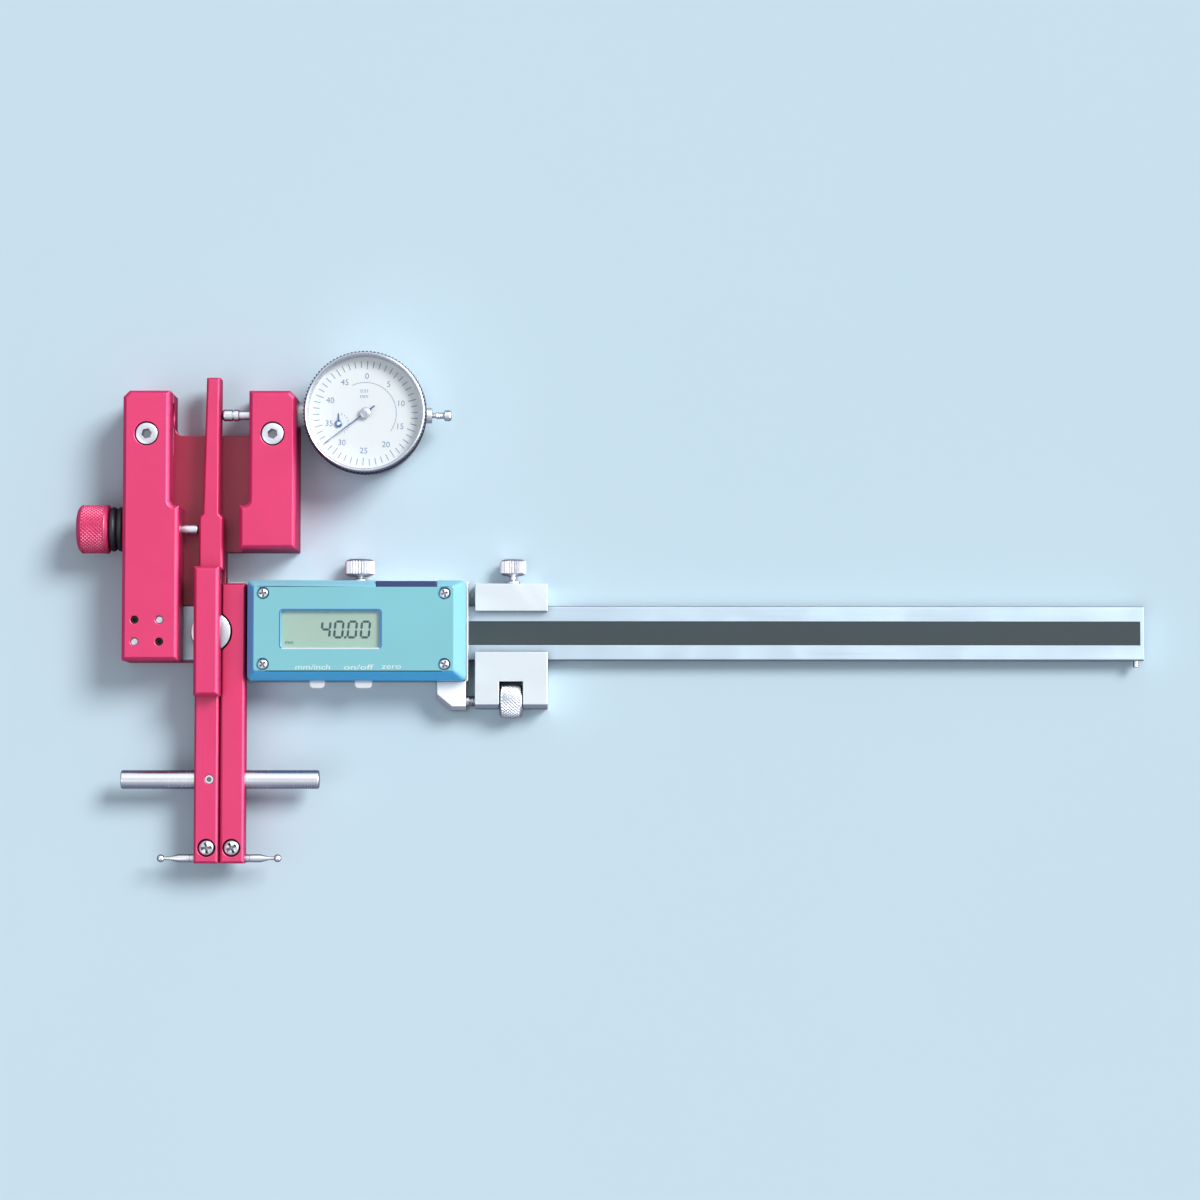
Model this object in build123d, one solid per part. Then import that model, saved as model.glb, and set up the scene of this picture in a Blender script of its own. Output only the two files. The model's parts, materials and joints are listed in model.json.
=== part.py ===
from build123d import *

import os
from math import pi, radians, sin, cos

# A two-ball measuring gauge, lying on its back.  Everything is in millimetres.
# Origin: where the rocker's pivot axis meets the back plane.  +X runs along the beam,
# +Y up the two columns, +Z out of the front.

# --- clearances ---------------------------------------------------------------------
slide_fit = 0.05          # sideways, between the beam and what slides on it
lift_gap = 0.3            # between the beam's broad faces and what slides on it
pin_fit = 0.02            # radial, a pin or screw in its own hole
running_fit = 0.04        # radial, a shaft that turns or slides in a bore
swing_gap = 0.3           # between the rocker and what it swings past
touch_gap = 0.15          # between two curved or rounded pieces that meet at rest
head_gap = 0.2            # radial, round a screw head sunk in its counterbore

# --- beam ---------------------------------------------------------------------------
beam_width = 17.7
beam_thickness = 4.0
beam_right = 302.3
beam_end_wall = 1.4       # yoke material left of the beam's hidden end
beam_chamfer = 0.4
strip_width = 7.7
strip_thickness = 0.35
strip_end_margin = 1.2
strip_hub_gap = 1.0
stop_pin_radius = 0.9
stop_pin_setback = 2.4    # from the beam's right end
stop_pin_stickout = 2.1
stop_pin_depth = 5.0
stop_pin_edge = 0.22

# --- yoke: back plate and two columns -----------------------------------------------
plate_thickness = 6.0
plate_behind_beam = 2.7
tongue_right = 4.0        # the plate's short tongue under the beam
yoke_half_width = 27.7
yoke_top = 77.2
left_foot = -9.5
right_foot = 26.3
column_depth = 16.0
inner_half_upper = 12.6
inner_half_lower = 9.6
step_y = 40.2
step_flat = 0.1           # straight shoulder left between its round and its chamfer's corner
web_top = 64.2
web_corner_radius = 2.5
column_chamfer = 1.1
corner_cut = 2.0
column_screw_radius = 2.0
column_screw_head_radius = 3.5
column_screw_head_height = 2.8
column_screw_sink = 0.4
column_screw_length = 9.5
column_hex_flats = 2.5
column_hex_depth = 1.4
left_screw_low = 20.0
right_screw_low = 34.0
column_screw_high = 51.0

# --- stem clamps ----------------------------------------------------------------------
stem_radius = 4.0
stem_axis_y = 70.2
stem_axis_z = 12.0
clamp_slit = 1.0
clamp_slit_tail = 6.0     # how far the slit runs past the clamp screw
clamp_screw_drop = 6.9    # from the stem's axis down to the clamp screw
clamp_screw_radius = 2.0
clamp_screw_head_radius = 3.5
clamp_screw_head_height = 4.0
clamp_screw_sink = 0.3
clamp_screw_length = 9.5
clamp_hex_flats = 3.0
clamp_hex_depth = 2.2
counterbore_gap = 0.35

# --- cross-recess heads, as shares of the head ---------------------------------------
crown_share = 0.45        # of its height is the sloping crown
crown_flat_share = 0.62   # of its radius is the flat top
cross_share = 0.6         # of its radius is the length of one slot's arm

# --- beam fastenings in the left column ----------------------------------------------
peg_radius = 1.25
peg_inset = 8.1           # from the yoke's left side to the middle of the four
peg_spacing_x = 7.9
peg_spacing_y = 7.0
peg_screw_sink = 1.4
peg_dowel_sink = 0.6
peg_dowel_edge = 0.25
peg_end_z = 3.3
peg_hex_flats = 1.25
peg_hex_depth = 1.2

# --- pivot ------------------------------------------------------------------------------
pivot_pin_start = 1.0
pivot_pin_radius = 2.5
pivot_journal_radius = 2.0
pivot_journal_height = 5.0
pivot_shoulder_sink = 1.0 # below the hub's front
hub_radius = 6.45
hub_chamfer = 0.4
hub_notch_gap = 0.5       # between the hub and the right arm's half-round notch
bush_wall = 1.2
bush_length = 4.6

# --- rocker --------------------------------------------------------------------------------
arm_back = 7.0
arm_thickness = 8.0
joint_line_x = 3.1        # where the two arms meet
joint_gap = 0.4
arm_width = 7.9
arm_bottom = -74.3
arm_chamfer = 0.7
left_arm_top = -8.0
bar_bottom = 7.6
bar_half_wide = 3.95
bar_swing_room = 0.8      # between its lower end and the right arm beside it
bar_block_lap = 0.75      # its full width starts this far inside the block's end
bar_shoulder_y = 37.0
bar_shoulder_height = 1.2
bar_right = 2.75
bar_left_low = -2.8
bar_left_top = -1.7
bar_top = 82.2
block_width = 8.3
block_centre_x = -0.65
block_half_length = 20.75
block_thickness = 7.0
block_chamfer = 1.0
rocker_screw_radius = 1.5
rocker_screw_head_radius = 2.6
rocker_screw_head_height = 2.4
rocker_screw_sink = 0.4
rocker_screw_reach = 5.0  # into the block
rocker_screw_near = 11.5
rocker_screw_far = 17.5
rocker_hex_flats = 2.5
rocker_hex_depth = 1.2

# --- styli and rods on the arms --------------------------------------------------------------
ball_span = 40.0          # over both balls
ball_radius = 1.25
ball_span_centre = 2.9
stylus_y = -72.7
stylus_radius = 1.3
stylus_neck_radius = 0.55
stylus_taper_start = 5.0  # straight shank outside the arm
stylus_neck_length = 1.6
stylus_neck_sink = 0.75   # the neck ends this far short of the ball's centre
stylus_seat = 6.6         # shank length inside the arm
arm_slit = 0.8
arm_slit_length = 10.5
stylus_screw_rise = 3.4   # from the stylus up to its clamp screw
stylus_screw_setback = 4.0
stylus_screw_radius = 1.4
stylus_screw_head_radius = 2.7
stylus_screw_head_height = 1.7
stylus_screw_sink = 0.25
stylus_screw_reach = 4.6
stylus_cross_width = 0.7
stylus_cross_depth = 0.9
rod_radius = 3.0
rod_axis_y = -47.4
rod_exposed = 23.7
rod_seat = 6.4
rod_spigot_radius = 2.5   # the stepped end inside the arm
rod_chamfer = 0.5
set_screw_radius = 1.5
set_screw_x = -0.1
set_screw_sink = 0.2
set_screw_hex_flats = 1.5
set_screw_floor = 0.2     # below its socket

# --- right arm and slider --------------------------------------------------------------------
right_arm_top = 15.7
right_arm_lowering = 0.3  # its front lies this much behind the rocker's arms
slider_left = 5.0
slider_right = 82.7
slider_top = 16.5
slider_bottom = -15.7
slider_back_thickness = 2.4
bridge_thickness = 2.0
gib_thickness = 0.8
gib_end_margin = 2.0
gib_height = 3.6
arm_screw_radius = 1.5
arm_screw_head_radius = 2.7
arm_screw_head_height = 1.6
arm_screw_sink = 0.2
arm_screw_reach = 5.0     # into the right arm
arm_screw_inset_x = 3.3
arm_screw_inset_y = 3.4
arm_hex_flats = 2.0
arm_hex_depth = 0.9
lug_left = 72.7
lug_right = 82.0
lug_bottom = -25.1
lug_back = 1.0
lug_front = 10.5
lug_cut_x = 4.4
lug_cut_y = 3.7
lug_edge = 1.3

# --- display ------------------------------------------------------------------------------------
display_left = 12.0
display_right = 82.1
display_height = 11.0
display_skirt = 7.6       # height of the upright sides below the bevels
display_wall = 1.8
display_front_wall = 1.6
bevel_left = 2.2
bevel_right = 3.8
bevel_top = 2.1
bevel_bottom = 2.9
display_corner = 1.6
face_corner = 0.9
window_left = 23.0
window_right = 54.8
window_bottom = -5.2
window_top = 6.6
window_thickness = 0.8
window_recess = 1.0
window_fit = 0.05
window_corner = 0.8
module_margin = 1.6
corner_pillar = 6.4
board_thickness = 1.2
board_margin = 0.3
battery_radius = 5.8
battery_thickness = 3.6
battery_x = 66.0
housing_screw_inset_x = 3.0
housing_screw_inset_y = 2.2
housing_screw_head_radius = 1.75
housing_screw_head_height = 1.0
housing_screw_sink = 0.2
housing_screw_radius = 0.8
housing_cross_width = 0.5
housing_cross_depth = 0.5
port_left = 53.3
port_right = 72.9
port_depth = 2.6
port_sill = 1.0
port_recess = 1.0
port_setback = 0.3
port_edge = 0.3

# --- buttons -----------------------------------------------------------------------------------
units_button_left = 31.9
units_button_width = 4.9
power_button_left = 46.4
power_button_width = 5.6
button_stickout = 2.5
button_height = 3.6
button_base = 2.6         # above the housing's seat
button_travel = 1.0
button_flange = 0.9
button_flange_margin = 0.8
button_edge = 0.5

# --- lock screws ---------------------------------------------------------------------------------
lock_axis_z = 5.2
slider_lock_x = 47.4
carriage_lock_x = 97.1
lock_shank_radius = 1.2
lock_knob_top = 24.0
slider_lock_knob_radius = 4.8
slider_lock_knob_height = 5.5
carriage_lock_knob_radius = 4.2
carriage_lock_knob_height = 5.3
lock_collar_radius = 2.4
lock_chamfer = 0.6
lock_collar_height = 0.8
lock_neck_length = 0.4    # straight, under the knob

# --- fine-adjustment carriage --------------------------------------------------------------------
carriage_left = 84.9
carriage_right = 108.4
carriage_top = 15.9
carriage_upper_lip = 7.0
carriage_lower_lip = -6.2
carriage_bottom = -24.5
carriage_front = 10.5
carriage_corner = 2.5
carriage_edge = 1.3
nut_slot_left = 92.7
nut_slot_right = 100.4
nut_slot_top = -15.8
nut_side_gap = 0.12
nut_radius = 5.6
nut_edge = 1.0
nut_crown = 0.4           # along the axis, to the middle of its rounded edge
nut_crown_drop = 0.3
spindle_radius = 1.75
spindle_y = -22.1
spindle_z = 6.0
spindle_seat = 8.0
spindle_right = 105.5
spindle_edge = 0.5

# --- dial gauge -------------------------------------------------------------------------------------
stem_free = 2.15          # bare stem between the right column and the bezel
case_setback = 1.25       # the case's radius is less than the bezel's by this
case_wall = 1.8
case_back = 3.6
case_front = 17.5
cover_thickness = 1.4
cover_rim = 0.8
cover_edge = 0.6
stem_stickout = 0.1       # past the right column's inner face
rod_bore_play = 0.08
collar_radius = 2.45
collar_stickout = 1.35    # past the bezel
movement_thickness = 2.4
movement_setback = 0.7    # behind the case's front
movement_boss_radius = 4.5
dial_back = 18.3
dial_thickness = 0.5
dial_ring_width = 8.0     # the middle stays still, this ring turns with the bezel
dial_ring_gap = 0.12
bezel_radius = 19.85
bezel_wall = 1.65
bezel_base = 17.7
bezel_front = 24.0
bezel_edge = 0.8
bezel_flange_lap = 0.2    # its flange reaches inside the case's wall by this
crystal_thickness = 0.8
crystal_back = 22.4
crystal_rebate = 0.4
pointer_rim_gap = 2.0     # from its tip to the bezel's bore
pointer_tail = 4.0
pointer_angle = 233.0     # clockwise from the top
pointer_base_width = 0.9
pointer_tip_width = 0.25
pointer_hub_radius = 1.5
pointer_arbor_radius = 0.45
pointer_back = 20.1
pointer_thickness = 0.25
counter_inset = 0.95      # inside the edge of the still middle
counter_direction = 201.6 # from +X
counter_hand_length = 3.1
counter_base_width = 0.75
counter_tip_width = 0.33
counter_hub_radius = 1.1
counter_arbor_radius = 0.25
counter_back = 19.05
counter_thickness = 0.2

# --- plunger -----------------------------------------------------------------------------------------
plunger_radius = 1.5
plunger_shoulder_inset = 2.5  # inside the case's wall
plunger_neck_radius = 0.75
contact_radius = 1.9
contact_length = 5.8
contact_dome = 1.1
cap_play = 1.4            # from the collar to the cap
cap_flange_length = 2.1
cap_groove_length = 0.4
cap_knob_length = 2.4
cap_flange_radius = 1.1
cap_groove_radius = 0.95
cap_knob_radius = 1.75
cap_knob_edge = 0.4

# --- retracting knob ------------------------------------------------------------------------------------
knob_y = 33.2
retract_pin_radius = 1.55
retract_pin_gap = 0.5     # from its end to the rocker bar
retract_pin_edge = 0.4
pin_collar_radius = 2.9
pin_collar_length = 1.6
spring_chamber_radius = 3.4
spring_chamber_length = 10.0
spring_coil_radius = 2.4
spring_wire_radius = 0.35
spring_turns = 6
knob_bush_length = 4.0
ring_section = 2.45
ring_outer_radius = 7.2
knob_radius = 7.9
knob_length = 10.4
knob_rim = 1.0
knob_dome = 2.2           # length of its rounded end
knob_dome_step = 0.77     # along the axis, to the middle of the round
knob_dome_drop = 1.54     # and there, this far inside the full radius
knob_face_radius = 4.4
knob_blind_wall = 4.2     # solid, beyond the pin's hole

# --- heights that follow from the sizes above ----------------------------------------------------------
beam_back = plate_behind_beam
beam_front = beam_back + beam_thickness
beam_half = beam_width / 2
beam_left = beam_end_wall - yoke_half_width
column_back = plate_thickness
column_front = column_back + column_depth
slider_back_front = beam_back - lift_gap
rail_front = beam_front + lift_gap
seat_z = rail_front + bridge_thickness
gib_pocket = beam_half + slide_fit + gib_thickness + slide_fit
arm_front = arm_back + arm_thickness
arm_mid_z = arm_back + arm_thickness / 2
block_back = arm_front
block_front = block_back + block_thickness
hub_front = block_back - swing_gap
left_arm_right = joint_line_x - joint_gap / 2
left_arm_left = left_arm_right - arm_width
right_arm_left = joint_line_x + joint_gap / 2
right_arm_right = right_arm_left + arm_width
right_arm_front = arm_front - right_arm_lowering
display_front = seat_z + display_height
clamp_screw_y = stem_axis_y - clamp_screw_drop
clamp_screw_x = (yoke_half_width + inner_half_upper) / 2
column_screw_x = (yoke_half_width + inner_half_lower) / 2
step_radius = inner_half_upper - inner_half_lower - column_chamfer - step_flat
case_radius = bezel_radius - case_setback
bezel_bore = bezel_radius - bezel_wall
bezel_flange_bore = case_radius - case_wall - bezel_flange_lap
dial_split_radius = bezel_bore - dial_ring_width
dial_x = yoke_half_width + stem_free + bezel_radius
counter_x = (dial_split_radius - counter_inset) * cos(radians(counter_direction))
counter_y = (dial_split_radius - counter_inset) * sin(radians(counter_direction))
stem_left = inner_half_upper - stem_stickout
collar_end = dial_x + bezel_radius + collar_stickout
plunger_left = bar_right + touch_gap + contact_length
plunger_shoulder = dial_x + case_radius - case_wall - plunger_shoulder_inset
cap_left = collar_end + cap_play
cap_groove_left = cap_left + cap_flange_length
cap_knob_left = cap_groove_left + cap_groove_length
cap_right = cap_knob_left + cap_knob_length


# --- shared shapes ----------------------------------------------------------------------------------------
def block(x0, x1, y0, y1, z0, z1):
    """A rectangular block between two opposite corners."""
    box = Box(x1 - x0, y1 - y0, z1 - z0, align=(Align.MIN,) * 3)
    return Pos(x0, y0, z0) * box


def rod_z(radius, x, y, z0, z1):
    """A round bar along Z."""
    bar = Cylinder(radius, z1 - z0, align=(Align.CENTER, Align.CENTER, Align.MIN))
    return Pos(x, y, z0) * bar


def rod_x(radius, x0, x1, y, z):
    """A round bar along X."""
    return Pos(0, y, z) * Rot(0, 90, 0) * rod_z(radius, 0, 0, x0, x1)


def rod_y(radius, y0, y1, x, z):
    """A round bar along Y."""
    return Pos(x, 0, z) * Rot(-90, 0, 0) * rod_z(radius, 0, 0, y0, y1)


def turned_x(profile, y, z):
    """A turned piece along X, from (x, radius) points that start and end on its axis."""
    return Pos(0, y, z) * revolve(Polygon(*profile, align=None), axis=Axis.X)


def turned_y(profile, x, z):
    """A turned piece along Y, from (y, radius) points."""
    return Pos(x, 0, z) * Rot(0, 0, 90) * revolve(Polygon(*profile, align=None), axis=Axis.X)


def turned_z(profile, x, y):
    """A turned piece along Z, from (z, radius) points."""
    return Pos(x, y, 0) * Rot(0, -90, 0) * revolve(Polygon(*profile, align=None), axis=Axis.X)


def plate(points, z0, z1):
    """A flat piece with the outline given, between two heights."""
    return Pos(0, 0, z0) * extrude(Polygon(*points, align=None), amount=z1 - z0)


def broken_front(solid, size):
    """The same solid with a chamfer round its front face."""
    return chamfer(solid.faces().sort_by(Axis.Z)[-1].edges(), size)


def cap_screw(x, y, head_z, facing, head_radius, head_height, radius, length, flats, depth):
    """A socket head screw.  facing is +1 where the head looks out of the front."""
    head = rod_z(head_radius, x, y, 0, head_height)
    shank = rod_z(radius, x, y, -length, 0)
    socket = Pos(x, y, head_height - depth) * extrude(
        RegularPolygon(flats / 2, 6, major_radius=False), amount=depth + 1
    )
    screw = head + shank - socket
    if facing < 0:
        screw = Pos(x, y, 0) * Rot(180, 0, 0) * Pos(-x, -y, 0) * screw
    return Pos(0, 0, head_z) * screw


def cross_screw(x, y, head_z, head_radius, head_height, radius, length, slot, depth):
    """A round-topped screw with a cross recess, its head's underside at head_z."""
    crown = head_height * crown_share
    profile = [
        (-length, 0),
        (-length, radius),
        (0, radius),
        (0, head_radius),
        (head_height - crown, head_radius),
        (head_height, head_radius * crown_flat_share),
        (head_height, 0),
    ]
    screw = Pos(0, 0, head_z) * turned_z(profile, x, y)
    reach = head_radius * cross_share
    top = head_z + head_height
    for dx, dy in ((reach, slot / 2), (slot / 2, reach)):
        screw -= block(x - dx, x + dx, y - dy, y + dy, top - depth, top + 1)
    return screw


# --- yoke ---------------------------------------------------------------------------------------------------
def column_outline(side, foot):
    """One column's outline.  side is -1 for the left column and +1 for the right."""
    points = [
        (side * yoke_half_width, foot),
        (side * inner_half_lower, foot),
        (side * inner_half_lower, step_y),
        (side * inner_half_upper, step_y),
        (side * inner_half_upper, yoke_top),
        (side * (yoke_half_width - corner_cut), yoke_top),
        (side * yoke_half_width, yoke_top - corner_cut),
    ]
    outline = Polygon(*(points if side < 0 else reversed(points)), align=None)
    inner = [v for v in outline.vertices() if v.Y < yoke_top - corner_cut and abs(v.X) < yoke_half_width]
    hollow = max(inner, key=lambda v: (round(v.Y, 3), abs(v.X)))
    return fillet(hollow, step_radius)


def column_body(side, foot):
    """A column with its stem bore, clamp slit and the hole for its clamp screw."""
    body = Pos(0, 0, column_back) * extrude(column_outline(side, foot), amount=column_depth)
    body = broken_front(body, column_chamfer)
    x0, x1 = sorted((side * (inner_half_lower - 1), side * (yoke_half_width + 1)))
    body -= rod_x(stem_radius + (pin_fit if side > 0 else 0), x0, x1, stem_axis_y, stem_axis_z)
    slit_bottom = clamp_screw_y - clamp_slit_tail
    half = clamp_slit / 2
    body -= block(x0, x1, slit_bottom, yoke_top + 1, stem_axis_z - half, stem_axis_z + half)
    x = side * clamp_screw_x
    seat = column_front - clamp_screw_sink - clamp_screw_head_height
    body -= rod_z(clamp_screw_head_radius + counterbore_gap, x, clamp_screw_y, seat, column_front + 1)
    body -= rod_z(clamp_screw_radius + pin_fit, x, clamp_screw_y, seat - clamp_screw_length, seat + 1)
    return body


def column_screw_places():
    """Where the screws from the back hold the columns."""
    x = column_screw_x
    return [
        (-x, left_screw_low),
        (-clamp_screw_x, column_screw_high),
        (x, right_screw_low),
        (clamp_screw_x, column_screw_high),
    ]


def column_screw_seat():
    return column_screw_sink + column_screw_head_height


def screw_holes(side):
    """The blind holes that the screws from the back enter in one column."""
    end = column_screw_seat() + column_screw_length
    holes = [
        rod_z(column_screw_radius + pin_fit, x, y, column_back - 1, end + pin_fit)
        for x, y in column_screw_places()
        if x * side > 0
    ]
    return Compound(children=holes)


def peg_places(kind):
    """Two screws stand on one diagonal of a rectangle and two dowels on the other."""
    middle = peg_inset - yoke_half_width
    dx, dy = peg_spacing_x / 2, peg_spacing_y / 2
    turn = 1 if kind == "screw" else -1
    return [(middle - dx, turn * dy), (middle + dx, -turn * dy)]


def all_pegs():
    return peg_places("screw") + peg_places("dowel")


def left_column():
    body = column_body(-1, left_foot)
    body -= screw_holes(-1)
    body -= block(-yoke_half_width - 1, 0, left_foot - 1, beam_half + slide_fit, column_back - 1, beam_front)
    for x, y in all_pegs():
        body -= rod_z(peg_radius + pin_fit, x, y, beam_front - 1, column_front + 1)
    chamber_right = -yoke_half_width + spring_chamber_length + knob_bush_length
    body -= rod_x(spring_chamber_radius, -yoke_half_width - 1, chamber_right, knob_y, stem_axis_z)
    body -= rod_x(retract_pin_radius + running_fit, chamber_right - 1, 0, knob_y, stem_axis_z)
    return body


def right_column():
    return column_body(1, right_foot) - screw_holes(1)


def back_plate():
    points = [
        (-yoke_half_width, left_foot),
        (tongue_right, left_foot),
        (tongue_right, right_foot),
        (yoke_half_width, right_foot),
        (yoke_half_width, yoke_top - corner_cut),
        (yoke_half_width - corner_cut, yoke_top),
        (inner_half_upper, yoke_top),
        (inner_half_upper, web_top),
        (-inner_half_upper, web_top),
        (-inner_half_upper, yoke_top),
        (corner_cut - yoke_half_width, yoke_top),
        (-yoke_half_width, yoke_top - corner_cut),
    ]
    outline = Polygon(*points, align=None)
    corners = [
        v
        for v in outline.vertices()
        if abs(v.Y - web_top) < 0.1 and abs(abs(v.X) - inner_half_upper) < 0.1
    ]
    body = extrude(fillet(corners, web_corner_radius), amount=plate_thickness)
    pocket_top = beam_half + slide_fit
    body -= block(
        beam_left - slide_fit, tongue_right + 1, left_foot - 1, pocket_top, beam_back, plate_thickness + 1
    )
    for x, y in column_screw_places():
        seat = column_screw_seat()
        body -= rod_z(column_screw_head_radius + counterbore_gap, x, y, -1, seat)
        body -= rod_z(column_screw_radius + pin_fit, x, y, seat - 1, plate_thickness + 1)
    body -= rod_z(pivot_pin_radius + pin_fit, 0, 0, pivot_pin_start, plate_thickness)
    return body


def column_screws():
    seat = column_screw_seat()
    return [
        cap_screw(
            x, y, seat, -1, column_screw_head_radius, column_screw_head_height,
            column_screw_radius, column_screw_length, column_hex_flats, column_hex_depth,
        )
        for x, y in column_screw_places()
    ]


def stem_clamp_screws():
    seat = column_front - clamp_screw_sink - clamp_screw_head_height
    return [
        cap_screw(
            side * clamp_screw_x, clamp_screw_y, seat, 1, clamp_screw_head_radius,
            clamp_screw_head_height, clamp_screw_radius, clamp_screw_length - pin_fit,
            clamp_hex_flats, clamp_hex_depth,
        )
        for side in (-1, 1)
    ]


# --- beam -----------------------------------------------------------------------------------------------------
def strip_left():
    return hub_radius + strip_hub_gap


def beam():
    body = block(beam_left, beam_right, -beam_half, beam_half, beam_back, beam_front)
    long_edges = body.edges().filter_by(Axis.X)
    body = chamfer(long_edges, beam_chamfer)
    half = strip_width / 2
    body -= block(
        strip_left(), beam_right - strip_end_margin, -half, half,
        beam_front - strip_thickness, beam_front + 1,
    )
    for x, y in all_pegs():
        body -= rod_z(peg_radius + pin_fit, x, y, beam_back - 1, beam_front + 1)
    body -= rod_z(pivot_pin_radius + pin_fit, 0, 0, beam_back - 1, beam_front + 1)
    x = beam_right - stop_pin_setback
    mid = beam_back + beam_thickness / 2
    body -= rod_y(stop_pin_radius + pin_fit, -beam_half - 1, stop_pin_depth - beam_half, x, mid)
    return body


def scale_strip():
    half = strip_width / 2 - pin_fit
    right = beam_right - strip_end_margin - pin_fit
    return block(
        strip_left() + pin_fit, right, -half, half, beam_front - strip_thickness, beam_front
    )


def beam_stop_pin():
    x = beam_right - stop_pin_setback
    mid = beam_back + beam_thickness / 2
    end = -beam_half - stop_pin_stickout
    edge = stop_pin_edge
    profile = [
        (end, 0),
        (end, stop_pin_radius - edge),
        (end + edge, stop_pin_radius),
        (stop_pin_depth - beam_half, stop_pin_radius),
        (stop_pin_depth - beam_half, 0),
    ]
    return turned_y(profile, x, mid)


def beam_screws():
    top = column_front - peg_screw_sink
    screws = []
    for x, y in peg_places("screw"):
        screw = rod_z(peg_radius, x, y, peg_end_z, top)
        hexagon = RegularPolygon(peg_hex_flats / 2, 6, major_radius=False)
        screws.append(screw - Pos(x, y, top - peg_hex_depth) * extrude(hexagon, amount=2))
    return screws


def beam_dowels():
    top = column_front - peg_dowel_sink
    edge = peg_dowel_edge
    profile = [
        (peg_end_z, 0),
        (peg_end_z, peg_radius),
        (top - edge, peg_radius),
        (top, peg_radius - edge),
        (top, 0),
    ]
    return [turned_z(profile, x, y) for x, y in peg_places("dowel")]


# --- pivot -----------------------------------------------------------------------------------------------------
def pivot_pin():
    profile = [
        (pivot_pin_start, 0),
        (pivot_pin_start, pivot_pin_radius),
        (hub_front - pivot_shoulder_sink, pivot_pin_radius),
        (hub_front - pivot_shoulder_sink, pivot_journal_radius),
        (block_back + pivot_journal_height, pivot_journal_radius),
        (block_back + pivot_journal_height, 0),
    ]
    return turned_z(profile, 0, 0)


def pivot_hub():
    inner_step = hub_front - pivot_shoulder_sink + pin_fit
    profile = [
        (beam_front, pivot_pin_radius + pin_fit),
        (beam_front, hub_radius),
        (hub_front - hub_chamfer, hub_radius),
        (hub_front, hub_radius - hub_chamfer),
        (hub_front, pivot_journal_radius + pin_fit),
        (inner_step, pivot_journal_radius + pin_fit),
        (inner_step, pivot_pin_radius + pin_fit),
    ]
    return turned_z(profile, 0, 0)


def pivot_bush():
    z0 = block_back + swing_gap
    outer = rod_z(pivot_journal_radius + bush_wall, 0, 0, z0, z0 + bush_length)
    return outer - rod_z(pivot_journal_radius + running_fit, 0, 0, z0 - 1, z0 + bush_length + 1)


# --- rocker ---------------------------------------------------------------------------------------------------
def rocker_screw_places():
    ys = (rocker_screw_near, rocker_screw_far, -rocker_screw_near, -rocker_screw_far)
    return [(block_centre_x, y) for y in ys]


def rocker_screw_seat():
    return arm_back + rocker_screw_sink + rocker_screw_head_height


def rocker_screw_cut():
    """Counterbores and holes for the screws that hold the bar and the arm to the block."""
    seat = rocker_screw_seat()
    tools = []
    for x, y in rocker_screw_places():
        tools.append(rod_z(rocker_screw_head_radius + head_gap, x, y, arm_back - 1, seat))
        tools.append(rod_z(rocker_screw_radius + pin_fit, x, y, seat - 1, block_back + rocker_screw_reach))
    return tools


def rocker_block():
    x0 = block_centre_x - block_width / 2
    x1 = block_centre_x + block_width / 2
    body = block(x0, x1, -block_half_length, block_half_length, block_back, block_front)
    body = broken_front(body, block_chamfer)
    bore_end = block_back + max(pivot_journal_height, swing_gap + bush_length) + pin_fit
    body -= rod_z(pivot_journal_radius + bush_wall + pin_fit, 0, 0, block_back - 1, bore_end)
    for x, y in rocker_screw_places():
        body -= rod_z(rocker_screw_radius + pin_fit, x, y, block_back - 1, block_back + rocker_screw_reach)
    return body


def rocker_bar():
    shoulder = bar_shoulder_y + bar_shoulder_height
    low_right = right_arm_left - bar_swing_room
    widening = block_half_length - bar_block_lap
    points = [
        (-bar_half_wide, bar_bottom),
        (low_right, bar_bottom),
        (low_right, widening),
        (bar_half_wide, widening),
        (bar_half_wide, bar_shoulder_y),
        (bar_right, shoulder),
        (bar_right, bar_top),
        (bar_left_top, bar_top),
        (bar_left_low, shoulder),
        (-bar_half_wide, bar_shoulder_y),
    ]
    body = broken_front(plate(points, arm_back, arm_front), arm_chamfer)
    for tool in rocker_screw_cut():
        body -= tool
    return body


def arm_blank(x0, x1, top, front):
    """A straight arm with broken front edges."""
    return broken_front(block(x0, x1, arm_bottom, top, arm_back, front), arm_chamfer)


def arm_seats(side, front):
    """What is cut from either arm: stylus bore, clamp slit, clamp screw seat and rod bore."""
    joint = left_arm_right if side < 0 else right_arm_left
    outer = left_arm_left if side < 0 else right_arm_right
    screw_x = joint_line_x + side * stylus_screw_setback
    screw_y = stylus_y + stylus_screw_rise
    half = arm_slit / 2
    x0, x1 = sorted((joint - side, outer + side))
    seat = front - stylus_screw_sink - stylus_screw_head_height
    rod_end = outer - side * rod_seat
    r0, r1 = sorted((rod_end, outer + side))
    return [
        rod_x(stylus_radius + pin_fit, x0, x1, stylus_y, arm_mid_z),
        block(x0, x1, arm_bottom - 1, arm_bottom + arm_slit_length, arm_mid_z - half, arm_mid_z + half),
        rod_z(stylus_screw_head_radius + head_gap, screw_x, screw_y, seat, front + 1),
        rod_z(stylus_screw_radius + pin_fit, screw_x, screw_y, seat - stylus_screw_reach, seat + 1),
        rod_x(rod_spigot_radius + pin_fit, r0, r1, rod_axis_y, arm_mid_z),
    ]


def left_arm():
    body = arm_blank(left_arm_left, left_arm_right, left_arm_top, arm_front)
    for tool in arm_seats(-1, arm_front) + rocker_screw_cut():
        body -= tool
    body -= rod_z(set_screw_radius + pin_fit, set_screw_x, rod_axis_y, arm_mid_z, arm_front + 1)
    return body


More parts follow.
